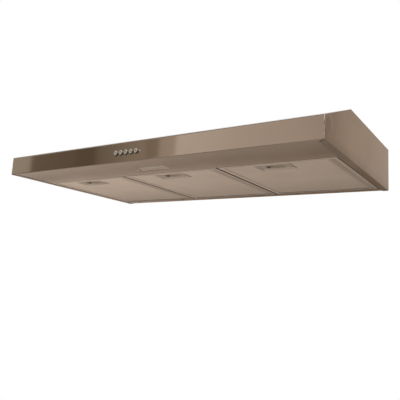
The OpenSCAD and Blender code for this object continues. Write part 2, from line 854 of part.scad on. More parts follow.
module inlet_plate_right() hang() color(dark_steel) fan_place(1) inlet_plate();

// Finger guard of rings and spokes, on feet under the inlet plate
module inlet_guard() {
    z = guard_z;
    hub = 13;
    ring_w = 2;
    spokes = 6;
    spoke_t = guard_t - 0.6;
    foot_w = 10;
    foot_l = 6;
    rim_r = inlet_r + 4;
    ring_step = (rim_r - hub) / guard_rings;
    post(hub, z, guard_t);
    for (i = [1 : guard_rings])
        translate([0, 0, z]) rotate_extrude() translate([hub + i * ring_step, 0]) square([ring_w, guard_t]);
    for (k = [0 : spokes - 1])
        rotate(k * 360 / spokes) {
            translate([hub - 1, -ring_w / 2, z + guard_t - spoke_t]) cube([rim_r - hub + 2, ring_w, spoke_t]);
            translate([rim_r + 1, -foot_w / 2, z]) cube([foot_l, foot_w, guard_t + foot_h]);
        }
}
module inlet_guard_left() hang() color(plastic) fan_place(-1) inlet_guard();
module inlet_guard_right() hang() color(plastic) fan_place(1) inlet_guard();

module motor() {
    shoulder = 5;
    bearing_r = 9;
    bearing_h = 3;
    bore_r = shaft_dia / 2 + shaft_clear;
    rotate_extrude() polygon(concat(
        [[bore_r, motor_bottom - bearing_h], [bearing_r, motor_bottom - bearing_h], [bearing_r, motor_bottom]],
        [for (i = [0 : 4])
            [motor_r - shoulder + shoulder * sin(22.5 * i), motor_bottom + shoulder * (1 - cos(22.5 * i))]],
        [
            [motor_r, motor_top - motor_flange_t], [motor_flange_r, motor_top - motor_flange_t],
            [motor_flange_r, motor_top], [0, motor_top], [0, bore_top], [bore_r, bore_top]
        ]
    ));
}
module motor_left() hang() color("#8d8a86") fan_place(-1) motor();
module motor_right() hang() color("#8d8a86") fan_place(1) motor();

// Shaft with the nut that holds the wheel
module motor_shaft() {
    nut_bottom = hub_floor - boss_h - nut_h;
    post(shaft_dia / 2, nut_bottom - shaft_stub, bore_top - shaft_end_gap - nut_bottom + shaft_stub);
    post(nut_r, nut_bottom, nut_h, 6);
}
module motor_shaft_left() hang() color(chrome) fan_place(-1) motor_shaft();
module motor_shaft_right() hang() color(chrome) fan_place(1) motor_shaft();

// One forward-curved blade, as an outline in plan
function blade_edge(side) =
    [for (i = [0 : 5])
        let (t = i / 5,
             r = wheel_r - blade_margin - blade_l * (1 - t),
             angle = -blade_sweep * t * t + side * blade_t / 2 / r * 180 / PI)
        r * [cos(angle), sin(angle)]];

module fan_wheel() {
    bore_r = shaft_dia / 2 + shaft_clear;
    ring_w = 8;
    for (k = [0 : blade_count - 1])
        rotate(k * 360 / blade_count) translate([0, 0, wheel_bottom + 1])
            linear_extrude(wheel_h - 2) polygon(concat(blade_edge(-1), reversed(blade_edge(1))));
    translate([0, 0, wheel_bottom]) rotate_extrude()
        translate([wheel_r - ring_w, 0]) square([ring_w, wheel_plate]);
    rotate_extrude() polygon([
        [bore_r, hub_floor - boss_h], [boss_r, hub_floor - boss_h], [boss_r, hub_floor],
        [hub_r, hub_floor], [hub_r, wheel_top - wheel_plate], [wheel_r, wheel_top - wheel_plate],
        [wheel_r, wheel_top], [hub_r - wheel_plate, wheel_top],
        [hub_r - wheel_plate, hub_floor + wheel_plate],
        [bore_r, hub_floor + wheel_plate]
    ]);
}
module fan_wheel_left() hang() color("#77736c") fan_place(-1) fan_wheel();
module fan_wheel_right() hang() color("#77736c") fan_place(1) fan_wheel();

// Box that gathers the air of both fans under the duct collar
module outlet_box() hang() color(dark_steel) {
    w = 2 * outlet_half_w;
    d = outlet_rear - outlet_front;
    h = scroll_h;
    difference() {
        translate([-w / 2, outlet_front, scroll_bottom]) cube([w, d, h]);
        translate([-w / 2 + outlet_wall, outlet_front + outlet_wall, scroll_bottom + outlet_wall])
            cube([w - 2 * outlet_wall, d - 2 * outlet_wall, h]);
        translate([-w / 2 - 1, fan_back + channel_in, scroll_bottom + scroll_wall])
            cube([w + 2, channel_out - channel_in, h - 2 * scroll_wall]);
    }
}

// Duct

module collar_screw_holes() {
    for (k = [0 : 3])
        translate([0, collar_back, 0]) rotate(45 + 90 * k)
            translate([collar_r + collar_flange_w / 2, 0, body_h - 3 * sheet])
                cylinder(r = rivet_r + 0.1, h = 8 * sheet, $fn = FASTENER_FN);
}

module collar_screws() hang() color(chrome) {
    head_r = 3.4;
    head_h = 1.9;
    screw_l = 4;
    for (k = [0 : 3])
        translate([0, collar_back, body_h]) rotate(45 + 90 * k)
            translate([collar_r + collar_flange_w / 2, 0, 0])
                rotate_extrude($fn = FASTENER_FN) polygon([
                    [0, -screw_l], [rivet_r, -screw_l], [rivet_r, collar_t], [head_r, collar_t],
                    [head_r * 0.94, collar_t + head_h * 0.6], [head_r * 0.5, collar_t + head_h],
                    [0, collar_t + head_h]
                ]);
}

module duct_collar() hang() color(plastic) {
    boss_w = 2 * flap_axis_x + 8;
    boss_top = flap_axis_z + flap_barrel_r + 1;
    bar_w = 3;
    difference() {
        union() {
            translate([0, collar_back, 0]) rotate_extrude() polygon([
                [ledge_r, ledge_z], [collar_bore, body_h], [collar_r + collar_flange_w, body_h],
                [collar_r + collar_flange_w, body_h + collar_t], [collar_r, body_h + collar_t],
                [collar_r, body_h + collar_h], [collar_bore, body_h + collar_h],
                [collar_bore, ledge_z + ledge_t], [ledge_r, ledge_z + ledge_t]
            ]);
            translate([0, collar_back, 0]) for (side = [-1, 1])
                intersection() {
                    translate([-boss_w / 2, side > 0 ? collar_bore - bearing_w : -collar_bore - 1, ledge_z])
                        cube([boss_w, bearing_w + 1, boss_top - ledge_z]);
                    post(collar_bore + collar_wall / 2, ledge_z, collar_h);
                }
            translate([-bar_w / 2, collar_back - collar_bore - collar_wall / 2, ledge_z])
                cube([bar_w, 2 * collar_bore + collar_wall, ledge_t + 2]);
        }
        for (side = [-1, 1])
            translate([side * flap_axis_x, collar_back + collar_bore - 1, flap_axis_z])
                rotate([90, 0, 0]) cylinder(r = flap_pin_r + flap_pin_clear, h = 2 * collar_bore - 2);
        collar_screw_holes();
    }
}

// Half-round flap that the air lifts, with its hinge barrel and pins
module damper_flap(side) {
    barrel_l = 2 * (collar_bore - bearing_w - 1);
    pin_l = 2 * (collar_bore - 2);
    plate_z = ledge_z + ledge_t + seat_gap;
    cut_w = 2 * flap_axis_x + 18;
    translate([0, collar_back, 0]) {
        difference() {
            intersection() {
                post(flap_r, plate_z, flap_t);
                translate([side > 0 ? flap_axis_x : -flap_axis_x - 2 * flap_r, -flap_r, plate_z])
                    cube([2 * flap_r, 2 * flap_r, flap_t]);
            }
            for (end = [-1, 1])
                translate([0, end * collar_bore, plate_z])
                    cube([cut_w, 2 * bearing_w + 2, 4 * flap_t], center = true);
        }
        translate([side * flap_axis_x, barrel_l / 2, flap_axis_z]) rotate([90, 0, 0])
            cylinder(r = flap_barrel_r, h = barrel_l);
        translate([side * flap_axis_x, pin_l / 2, flap_axis_z]) rotate([90, 0, 0])
            cylinder(r = flap_pin_r, h = pin_l);
    }
}
module damper_flap_left() hang() color(aluminium) damper_flap(-1);
module damper_flap_right() hang() color(aluminium) damper_flap(1);

// Filters

// Slits where the flanges of the channel frame meet at the corners
module mitre_cuts() {
    slit = 0.3;
    for (x = [-1, 1], y = [-1, 1])
        translate([x * (filter_w / 2 - filter_sheet),
                   (filter_front + filter_rear + y * (filter_rear - filter_front)) / 2 - y * filter_sheet,
                   filter_z - 1])
            rotate(atan2(-y, -x)) translate([slit, -slit / 2, 0])
                cube([1.5 * filter_band, slit, filter_h + 2]);
}

// Channel frame of a filter, folded from one strip, with two hooks at the rear
module filter_frame(place) {
    depth = filter_rear - filter_front;
    hook_t = 1;
    translate([place * filter_pitch, 0, 0]) {
        difference() {
            translate([-filter_w / 2, filter_front, filter_z]) cube([filter_w, depth, filter_h]);
            translate([-filter_w / 2 + filter_sheet, filter_front + filter_sheet, filter_z + filter_sheet])
                cube([filter_w - 2 * filter_sheet, depth - 2 * filter_sheet, filter_h - 2 * filter_sheet]);
            translate([-filter_w / 2 + filter_band, filter_front + filter_band, filter_z - 1])
                cube([filter_w - 2 * filter_band, depth - 2 * filter_band, filter_h + 2]);
            mitre_cuts();
        }
        for (h = [-1, 1])
            translate([h * hook_x / 2, 0, 0]) {
                translate([-hook_w / 2, filter_rear - filter_sheet / 2, ear_z - hook_t / 2])
                    cube([hook_w, ear_y - filter_rear, hook_t]);
                translate([-ear_l / 2, ear_y, ear_z]) rotate([0, 90, 0]) cylinder(r = ear_r, h = ear_l);
            }
    }
}
module filter_frame_left() hang() color(aluminium) filter_frame(-1);
module filter_frame_middle() hang() color(aluminium) filter_frame(0);
module filter_frame_right() hang() color(aluminium) filter_frame(1);

// Lower and upper mesh faces, held in the channel, with windows for the handle and its pocket
module mesh_face(z, window_w, window_d, window_y) {
    w = filter_w - 2 * filter_sheet - 1;
    d = filter_rear - filter_front - 2 * filter_sheet - 1;
    difference() {
        translate([-w / 2, (filter_front + filter_rear - d) / 2, z]) cube([w, d, filter_sheet]);
        translate([-handle_left, window_y, z + filter_sheet / 2])
            cube([window_w, window_d, 3 * filter_sheet], center = true);
    }
}
module filter_mesh(place) {
    rim_lap = 1;
    pocket_gap = 2 * (handle_wall + seat_gap);
    translate([place * filter_pitch, 0, 0]) {
        mesh_face(filter_z + filter_sheet, handle_w - 2 * rim_lap, handle_d - 2 * rim_lap, handle_y);
        mesh_face(filter_top - 2 * filter_sheet, slot_w + pocket_gap, slot_d + pocket_gap,
                  slot_front + slot_d / 2);
    }
}
module filter_mesh_left() hang() color("#aea093") filter_mesh(-1);
module filter_mesh_middle() hang() color("#aea093") filter_mesh(0);
module filter_mesh_right() hang() color("#aea093") filter_mesh(1);

// Recessed handle: a shallow dish with a rim under the mesh, and a finger pocket with upright walls
module filter_handle(place) {
    rim_t = filter_sheet - 0.1;
    rim_w = 2;
    slot_y = slot_front - handle_y;
    translate([place * filter_pitch - handle_left, handle_y, filter_z]) difference() {
        union() {
            tapered_shell(handle_w - 2 * rim_w, handle_d - 2 * rim_w, dish_depth + handle_wall,
                          handle_lean, handle_wall);
            difference() {
                translate([-handle_w / 2, -handle_d / 2, 0]) cube([handle_w, handle_d, rim_t]);
                translate([0, 0, -1]) tapered(handle_w - 3 * rim_w, handle_d - 3 * rim_w, 4, 1);
            }
            translate([-slot_w / 2 - handle_wall, slot_y - handle_wall, dish_depth])
                cube([slot_w + 2 * handle_wall, slot_d + 2 * handle_wall, filter_h - dish_depth]);
        }
        translate([-slot_w / 2, slot_y, dish_depth - 1]) cube([slot_w, slot_d, filter_h]);
    }
}
module filter_handle_left() hang() color(steel) filter_handle(-1);
module filter_handle_middle() hang() color(steel) filter_handle(0);
module filter_handle_right() hang() color(steel) filter_handle(1);

// Sliding latch: a plate over the pocket, a nose towards the front lip and a finger lip in the pocket
module filter_latch(place) {
    z = filter_top + seat_gap;
    nose_end = strip_d + latch_nose_gap;
    plate_front = slot_front - latch_lap - 1;
    lip_l = filter_h + seat_gap - dish_depth - latch_lip_up;
    translate([place * filter_pitch - handle_left, 0, z]) {
        translate([-slot_w / 2 - latch_lap, plate_front, 0])
            cube([slot_w + 2 * latch_lap, slot_d + 2 * latch_lap, latch_t]);
        translate([-latch_nose_w / 2, nose_end, 0]) cube([latch_nose_w, plate_front + 1 - nose_end, latch_t]);
        translate([-slot_w / 2 + 1, slot_front + 1, -lip_l])
            cube([slot_w - 2, latch_lip_t, lip_l + latch_t / 2]);
    }
}
module filter_latch_left() hang() color(dark_steel) filter_latch(-1);
module filter_latch_middle() hang() color(dark_steel) filter_latch(0);
module filter_latch_right() hang() color(dark_steel) filter_latch(1);

top_shell();
front_panel();
rear_panel();
side_panel_left();
side_panel_right();
filter_rail_left();
filter_rail_right();
shell_rivets();
lamp_cover();
lamp_tray();
lamp_socket();
lamp_bulb();
switch_body();
button_bezels();
indicator_lens();
button_light();
button_off();
button_speed_1();
button_speed_2();
button_speed_3();
terminal_box();
terminal_box_cover();
terminal_block();
motor_capacitors();
cable_grommet();
lead_switch();
lead_lamp();
lead_fan_left();
lead_fan_right();
scroll_left();
scroll_right();
inlet_plate_left();
inlet_plate_right();
inlet_guard_left();
inlet_guard_right();
motor_left();
motor_right();
motor_shaft_left();
motor_shaft_right();
fan_wheel_left();
fan_wheel_right();
outlet_box();
duct_collar();
collar_screws();
damper_flap_left();
damper_flap_right();
filter_frame_left();
filter_frame_middle();
filter_frame_right();
filter_mesh_left();
filter_mesh_middle();
filter_mesh_right();
filter_handle_left();
filter_handle_middle();
filter_handle_right();
filter_latch_left();
filter_latch_middle();
filter_latch_right();
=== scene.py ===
# %% [markdown]
# This lesson dresses a slim range hood, seen from below as it hangs under a cabinet.
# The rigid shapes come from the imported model, where each folded sheet is already true to size.
# Blender adds the finishes, the fine mesh of the grease filters, the light and the camera.

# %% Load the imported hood
import math

import bmesh
import bpy
from mathutils import Matrix, Vector


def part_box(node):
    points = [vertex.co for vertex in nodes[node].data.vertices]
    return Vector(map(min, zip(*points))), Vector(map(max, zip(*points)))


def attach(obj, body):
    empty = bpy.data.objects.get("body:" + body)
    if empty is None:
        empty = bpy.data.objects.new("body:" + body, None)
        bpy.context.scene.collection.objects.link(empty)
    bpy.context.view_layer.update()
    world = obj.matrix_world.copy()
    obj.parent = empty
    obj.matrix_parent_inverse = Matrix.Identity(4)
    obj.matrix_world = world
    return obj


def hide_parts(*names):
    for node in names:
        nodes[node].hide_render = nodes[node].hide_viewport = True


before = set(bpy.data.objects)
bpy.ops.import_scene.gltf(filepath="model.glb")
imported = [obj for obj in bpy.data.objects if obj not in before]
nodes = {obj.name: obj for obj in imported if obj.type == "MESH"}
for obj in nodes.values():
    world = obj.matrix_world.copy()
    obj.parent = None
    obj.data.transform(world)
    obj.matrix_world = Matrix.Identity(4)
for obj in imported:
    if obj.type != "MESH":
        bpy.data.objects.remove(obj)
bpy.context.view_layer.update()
print("loaded", len(nodes), "nodes")

# %% [markdown]
# The camera stands in front of the hood's right end, lower than the hood, and looks up at it.
# It could be moved by eye until the picture fits. Here its place was solved from the corners of
# the body instead, so a corner of the model falls where the same corner falls in the picture.
# Three turns describe how it is held: yaw, pitch and roll.

# %% Camera
PICTURE_SIDE = 400
FOCAL_PIXELS = 492.8
SENSOR_WIDTH = 36.0
CAMERA_PLACE = Vector((0.7438, -1.1578, -0.3780))
YAW = math.radians(33.69)
PITCH = math.radians(9.51)
ROLL = math.radians(3.33)


def camera_axes():
    """Right, up and forward directions of the camera."""
    forward = Vector((
        -math.sin(YAW) * math.cos(PITCH),
        math.cos(YAW) * math.cos(PITCH),
        math.sin(PITCH),
    ))
    level_right = Vector((math.cos(YAW), math.sin(YAW), 0.0))
    level_up = level_right.cross(forward)
    right = math.cos(ROLL) * level_right + math.sin(ROLL) * level_up
    up = -math.sin(ROLL) * level_right + math.cos(ROLL) * level_up
    return right, up, forward


def make_camera():
    """Camera at the solved place, with its lens in millimetres."""
    data = bpy.data.cameras.new("camera")
    data.sensor_width = SENSOR_WIDTH
    data.lens = FOCAL_PIXELS * SENSOR_WIDTH / PICTURE_SIDE
    camera = bpy.data.objects.new("camera", data)
    bpy.context.scene.collection.objects.link(camera)
    right, up, forward = camera_axes()
    turn = Matrix((right, up, -forward)).transposed()
    camera.matrix_world = Matrix.Translation(CAMERA_PLACE) @ turn.to_4x4()
    bpy.context.scene.camera = camera
    return camera


camera = make_camera()
print("lens", round(camera.data.lens, 2), "mm")

# %% [markdown]
# The world, the floor and every finish are networks of nodes. They could be drawn by hand in the
# shader editor, but then each one would have to be drawn again for the next finish. A few small
# functions keep them short: one feeds a socket, one does sums, one maps a value onto a new range,
# and one blends two colours.

# %% Node helpers
def start_material(name):
    """New node material, with its tree, its shader and its object coordinates."""
    material = bpy.data.materials.new(name)
    material.use_nodes = True
    tree = material.node_tree
    shader = tree.nodes["Principled BSDF"]
    place = tree.nodes.new("ShaderNodeTexCoord")
    return material, tree, shader, place.outputs["Object"]


def feed(tree, socket, value):
    """Gives a socket a number, a colour or the output of another node."""
    if isinstance(value, bpy.types.NodeSocket):
        tree.links.new(value, socket)
    elif isinstance(value, tuple):
        socket.default_value = (*value, 1.0)
    else:
        socket.default_value = value


def maths(tree, operation, *values):
    """Math node whose values are numbers or outputs of other nodes."""
    made = tree.nodes.new("ShaderNodeMath")
    made.operation = operation
    for socket, value in zip(made.inputs, values):
        feed(tree, socket, value)
    return made.outputs[0]


def vector_maths(tree, operation, vector, fixed):
    """Outputs of a Vector Math node between a vector and a fixed one."""
    made = tree.nodes.new("ShaderNodeVectorMath")
    made.operation = operation
    made.inputs[1].default_value = fixed
    tree.links.new(vector, made.inputs[0])
    return made.outputs


def between(tree, value, low, high, from_low=0.3, from_high=0.7):
    """Maps a value onto the range from low to high. Most of a noise lies between 0.3 and 0.7."""
    level = tree.nodes.new("ShaderNodeMapRange")
    level.inputs["From Min"].default_value = from_low
    level.inputs["From Max"].default_value = from_high
    level.inputs["To Min"].default_value = low
    level.inputs["To Max"].default_value = high
    tree.links.new(value, level.inputs["Value"])
    return level.outputs["Result"]


def blended(tree, factor, first, last):
    """Colour that goes from one tone or texture over to another as the factor rises."""
    mix = tree.nodes.new("ShaderNodeMix")
    mix.data_type = "RGBA"
    feed(tree, mix.inputs["Factor"], factor)
    feed(tree, mix.inputs["A"], first)
    feed(tree, mix.inputs["B"], last)
    return mix.outputs["Result"]


print("node helpers ready")

# %% [markdown]
# Polished and brushed steel shows what stands round it, so the stage matters as much as the
# lamps. A picture of a room could wrap the scene, but a plain white world keeps the background
# clean. As a light it is turned down, so that the hood keeps its shading.

# %% World
WHITE = (1.0, 1.0, 1.0)
DIFFUSE_LEVEL = 0.42


def make_world():
    """White to the camera, to gloss and to glass, and a little lower as a light."""
    world = bpy.data.worlds.new("studio")
    bpy.context.scene.world = world
    world.use_nodes = True
    tree = world.node_tree
    background = tree.nodes["Background"]
    feed(tree, background.inputs["Color"], WHITE)
    rays = tree.nodes.new("ShaderNodeLightPath").outputs
    seen = maths(tree, "MAXIMUM", rays["Is Camera Ray"], rays["Is Glossy Ray"])
    seen_or_through = maths(tree, "MAXIMUM", seen, rays["Is Transmission Ray"])
    strength = between(tree, seen_or_through, DIFFUSE_LEVEL, 1.0, 0.0, 1.0)
    tree.links.new(strength, background.inputs["Strength"])
    return world


make_world()
bpy.context.scene.view_settings.view_transform = "Standard"
print("world lights at", DIFFUSE_LEVEL)

# %% [markdown]
# A hood hangs, so nothing touches the floor. A pale plane lies well below it, where it throws
# light up at the underside. Plain paint would show a grey horizon against the white world. So to
# the camera the floor glows white too, and only a small share of paint keeps the soft shadow
# below the hood. Further out that share fades.

# %% Floor
FLOOR_Z = -1.75
FLOOR_SIZE = 60.0
FLOOR_PAINT = (0.82, 0.82, 0.82)
FLOOR_ROUGHNESS = 0.9
SHADOW_SHARE = 0.04
SHADOW_REACH = (1.0, 3.0)


def link_mesh(name, bm):
    """Turns a bmesh into an object of the scene, at the origin."""
    mesh = bpy.data.meshes.new(name)
    bm.to_mesh(mesh)
    bm.free()
    made = bpy.data.objects.new(name, mesh)
    bpy.context.scene.collection.objects.link(made)
    return made


def floor_material():
    """Pale floor, white to the camera, that still holds a soft shadow below the hood."""
    material, tree, paint, place = start_material("floor")
    feed(tree, paint.inputs["Base Color"], FLOOR_PAINT)
    paint.inputs["Roughness"].default_value = FLOOR_ROUGHNESS
    glow = tree.nodes.new("ShaderNodeEmission")
    away = vector_maths(tree, "DISTANCE", place, (0.0, 0.0, FLOOR_Z))["Value"]
    white = between(tree, away, 1.0 - SHADOW_SHARE, 1.0, *SHADOW_REACH)
    rays = tree.nodes.new("ShaderNodeLightPath").outputs
    share = maths(tree, "MULTIPLY", rays["Is Camera Ray"], white)
    mix = tree.nodes.new("ShaderNodeMixShader")
    tree.links.new(share, mix.inputs["Fac"])
    tree.links.new(paint.outputs[0], mix.inputs[1])
    tree.links.new(glow.outputs[0], mix.inputs[2])
    tree.links.new(mix.outputs[0], tree.nodes["Material Output"].inputs["Surface"])
    return material


def make_floor():
    """One large plane far below the hood."""
    bm = bmesh.new()
    bmesh.ops.create_grid(bm, x_segments=1, y_segments=1, size=FLOOR_SIZE / 2)
    bmesh.ops.translate(bm, verts=bm.verts, vec=(0.0, 0.0, FLOOR_Z))
    floor = link_mesh("floor", bm)
    floor.data.materials.append(floor_material())
    return floor


make_floor()
print("floor at", FLOOR_Z, "m")

# %% [markdown]
# Two square lamps light the hood. Point lamps would be simpler, but the shadows of wide lamps are
# soft. A large one hangs high in front, and a smaller one stands low so that the underside isn't
# left to the floor's glow alone. Both are hidden from gloss, because a square highlight in the
# steel would give them away.

# %% Lamps
def soft_lamp(name, place, aim, size, power):
    """Square area lamp that looks at a point."""
    data = bpy.data.lights.new(name, "AREA")
    data.shape = "SQUARE"
    data.size = size
    data.energy = power
    lamp = bpy.data.objects.new(name, data)
    bpy.context.scene.collection.objects.link(lamp)
    lamp.location = place
    lamp.rotation_euler = (Vector(aim) - Vector(place)).to_track_quat("-Z", "Y").to_euler()
    lamp.visible_glossy = False
    return lamp


soft_lamp("front_lamp", place=(1.2, -2.6, 1.4), aim=(0.0, -0.1, 0.0), size=2.0, power=30.0)
soft_lamp("low_lamp", place=(-0.3, -1.05, -0.85), aim=(0.0, -0.1, -0.1), size=0.9, power=13.5)
print("lamps ready")

# %% [markdown]
# A sheet brushed along its length is a mirror in that direction, so the fascia shows whatever
# stands before it as upright bands with sharp sides. The bands could be painted on the steel, but
# then they would stay when the view changes. Cards a good way off draw them instead, as the flags
# of a photo studio do. Only reflections see the cards. Each is placed by mirroring the camera in
# the fascia, and each fades from one tone to another.

# %% Reflection cards
ALONG_X = (1.0, 0.0, 0.0)


def fading_glow(name, direction, start, end, tones):
    """Faint glow that fades along one direction, from one tone to another."""
    material, tree, _, place = start_material(name)
    along = vector_maths(tree, "DOT_PRODUCT", place, direction)["Value"]
    level = between(tree, along, 0.0, 1.0, start, end)
    glow = tree.nodes.new("ShaderNodeEmission")
    tree.links.new(blended(tree, level, *tones), glow.inputs["Color"])
    tree.links.new(glow.outputs[0], tree.nodes["Material Output"].inputs["Surface"])
    return material


def upright_card(name, span, y, heights, material):
    """Card parallel to the fascia that only reflections can see."""
    left, right = span
    low, high = heights
    bm = bmesh.new()
    # A grid's size is half its side, so this square is one metre wide before it is scaled
    bmesh.ops.create_grid(bm, x_segments=1, y_segments=1, size=0.5)
    bmesh.ops.scale(bm, verts=bm.verts, vec=(right - left, high - low, 1.0))
    bmesh.ops.rotate(bm, verts=bm.verts, matrix=Matrix.Rotation(math.pi / 2, 3, "X"))
    bmesh.ops.translate(bm, verts=bm.verts, vec=((left + right) / 2, y, (low + high) / 2))
    card = link_mesh(name, bm)
    card.data.materials.append(material)
    card.visible_camera = False
    card.visible_diffuse = False
    card.visible_shadow = False
    card.visible_transmission = False
    return card


print("card helpers ready")

# %% Cards that the fascia reflects
FASCIA_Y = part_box("front_panel")[0].y
CARD_DISTANCE = 2.0
CARD_Y = FASCIA_Y - CARD_DISTANCE
CARD_HEIGHTS = (-0.6, 1.6)

# Left and right side of each band on the fascia, then its tones at these sides
FASCIA_BANDS = {
    "card_end": (-0.470, -0.370, (0.63, 0.63, 0.59), (0.63, 0.63, 0.59)),
    "card_left": (-0.370, -0.198, (0.27, 0.24, 0.20), (0.24, 0.21, 0.17)),
    "card_dark": (-0.198, -0.124, (0.21, 0.18, 0.14), (0.20, 0.17, 0.13)),
    "card_buttons": (-0.124, 0.033, (0.28, 0.26, 0.21), (0.50, 0.46, 0.41)),
    "card_step": (0.033, 0.071, (0.40, 0.36, 0.31), (0.42, 0.38, 0.33)),
    "card_middle": (0.071, 0.117, (0.66, 0.62, 0.57), (0.68, 0.64, 0.58)),
    "card_right": (0.117, 0.460, (1.0, 0.99, 0.97), (0.72, 0.68, 0.66)),
}


def card_x(fascia_x):
    """Where the ray that meets the fascia at fascia_x reaches the plane of the cards."""
    reach = CARD_DISTANCE / (FASCIA_Y - CAMERA_PLACE.y)
    return fascia_x + (fascia_x - CAMERA_PLACE.x) * reach


for card_name, (band_left, band_right, *tones) in FASCIA_BANDS.items():
    span = (card_x(band_left), card_x(band_right))
    glow = fading_glow(card_name, ALONG_X, *span, tones)
    upright_card(card_name, span, CARD_Y, CARD_HEIGHTS, glow)
print(len(FASCIA_BANDS), "cards before the fascia")

# %% [markdown]
# The side panel and the underside are seen at a shallow angle, where metal mirrors whatever lies
# far behind the hood. A modelled kitchen would do, but a few grey cards cost less and can be set
# one at a time: a high one for the side panel, one for the filters that darkens upwards, and two
# low ones for the strip behind the fascia, of which the lower one lights the strip's front.

# %% Cards behind the hood
BACK_CARD_Y = 3.0
ALONG_SLANT = (0.12, 0.0, 1.0)
LEFT_SPAN = (-9.0, 0.2)
RIGHT_SPAN = (0.2, 4.5)
STRIP_FADE = (ALONG_X, -4.0, -0.6)

# Span, heights, direction of the fade with its start and end, and the two tones
BACK_CARDS = {
    "side_card": (
        RIGHT_SPAN, (-1.0, 4.0), (ALONG_X, 0.9, 1.8),
        ((0.71, 0.69, 0.67), (0.50, 0.47, 0.44)),
    ),
    "filter_card": (
        LEFT_SPAN, (-1.0, -0.05), (ALONG_SLANT, -1.25, -0.9),
        ((0.95, 0.90, 0.86), (0.30, 0.25, 0.21)),
    ),
    "strip_card": (
        LEFT_SPAN, (-1.12, -1.0), STRIP_FADE,
        ((0.30, 0.29, 0.285), (0.25, 0.24, 0.235)),
    ),
    "fold_card": (
        LEFT_SPAN, (-1.75, -1.12), STRIP_FADE,
        ((0.67, 0.65, 0.63), (0.47, 0.46, 0.45)),
    ),
}
for card_name, (span, heights, fade, tones) in BACK_CARDS.items():
    upright_card(card_name, span, BACK_CARD_Y, heights, fading_glow(card_name, *fade, tones))
print(len(BACK_CARDS), "cards behind the hood")

# %% [markdown]
# Brushed steel has a grain: thousands of fine scratches along one direction. Under the light they
# do two things. They vary the polish a little from line to line, and they spread each highlight
# across the grain while it stays sharp along it. The scratches could be modelled as a bump alone,
# but they are finer than a pixel and would only flicker. So a noise texture stretched along the
# grain varies the tone and the polish, and the anisotropy of the shader spreads the highlight.

# %% Texture helpers
def shade(colour, factor):
    """The same colour, darker or lighter."""
    return tuple(channel * factor for channel in colour)


def shades(colour, factors):
    """A darker and a lighter tone of one colour."""
    return [shade(colour, factor) for factor in factors]


def stretched_noise(tree, place, scale, detail=3.0):
    """Noise whose three scales are given per metre, so a small one stretches it that way."""
    mapping = tree.nodes.new("ShaderNodeMapping")
    mapping.inputs["Scale"].default_value = scale
    tree.links.new(place, mapping.inputs["Vector"])
    noise = tree.nodes.new("ShaderNodeTexNoise")
    noise.inputs["Scale"].default_value = 1.0
    noise.inputs["Detail"].default_value = detail
    tree.links.new(mapping.outputs["Vector"], noise.inputs["Vector"])
    return noise.outputs["Fac"]


def even_noise(tree, place, scale, detail):
    """Noise with the same scale per metre in every direction."""
    return stretched_noise(tree, place, (scale, scale, scale), detail)


def uneven(tree, texture, level, share):
    """Level that a texture lowers here and raises there, by a share of itself."""
    return between(tree, texture, level * (1.0 - share), level * (1.0 + share))


def bumped(tree, shader, value, depth, strength):
    """Bump of a given depth in metres."""
    bump = tree.nodes.new("ShaderNodeBump")
    bump.inputs["Distance"].default_value = depth
    bump.inputs["Strength"].default_value = strength
    tree.links.new(value, bump.inputs["Height"])
    tree.links.new(bump.outputs["Normal"], shader.inputs["Normal"])


print("texture helpers ready")

# %% Which way a face looks
def split(tree, vector):
    """The X, Y and Z parts of a vector."""
    parts = tree.nodes.new("ShaderNodeSeparateXYZ")
    tree.links.new(vector, parts.inputs[0])
    return parts.outputs


def own_normal(tree):
    """Direction in which a face looks, along the object's own axes."""
    return split(tree, tree.nodes.new("ShaderNodeTexCoord").outputs["Normal"])


def facing(tree, axis, low=0.35, high=0.75):
    """From 0 to 1, how squarely a face of the object looks along one of its own axes."""
    squareness = maths(tree, "ABSOLUTE", own_normal(tree)[axis])
    return between(tree, squareness, 0.0, 1.0, low, high)


print("direction helpers ready")

# %% [markdown]
# A side panel is painted darker at two borders, as painted shade: in patches towards the lower
# flange, and in blotches along the front edge beside the fascia. They could be drawn in a picture
# of the panel, but a picture gets coarse from nearby. Two noise textures stay fine at any
# distance.
# The place on the panel holds each of them back to its border.

# %% Painted shade at the borders of a side panel
# Where painted shade darkens a side panel: towards the lower flange in patches, and in blotches at
# the front edge
FOLD_SHADE_REACH = (-0.1108, -0.085)
FOLD_SHADE_PATCHES = (20.0, 12.0, 8.0)
LEAST_FOLD_SHADE = 0.55
FRONT_SHADE_REACH = (-0.324, -0.24)
FRONT_SHADE_BLOTCHES = (55.0, 55.0, 40.0)
BLOTCH_EDGE = (0.38, 0.56)


def shade_at_borders(tree, place):
    """Painted shade, from 1 in patches on the lower flange and in blotches at the front edge, to 0
    further in.
    """
    parts = split(tree, place)
    fold = between(tree, parts["Z"], 1.0, 0.0, *FOLD_SHADE_REACH)
    patchy = stretched_noise(tree, place, FOLD_SHADE_PATCHES, detail=2.0)
    patches = between(tree, patchy, LEAST_FOLD_SHADE, 1.0)
    front = between(tree, parts["Y"], 1.0, 0.0, *FRONT_SHADE_REACH)
    blotches = between(tree, stretched_noise(tree, place, FRONT_SHADE_BLOTCHES), 0.0, 1.0, *BLOTCH_EDGE)
    shaded_fold = maths(tree, "MULTIPLY", fold, patches)
    shaded_front = maths(tree, "MULTIPLY", front, blotches)
    return maths(tree, "MAXIMUM", shaded_fold, shaded_front)


print("worn borders ready")
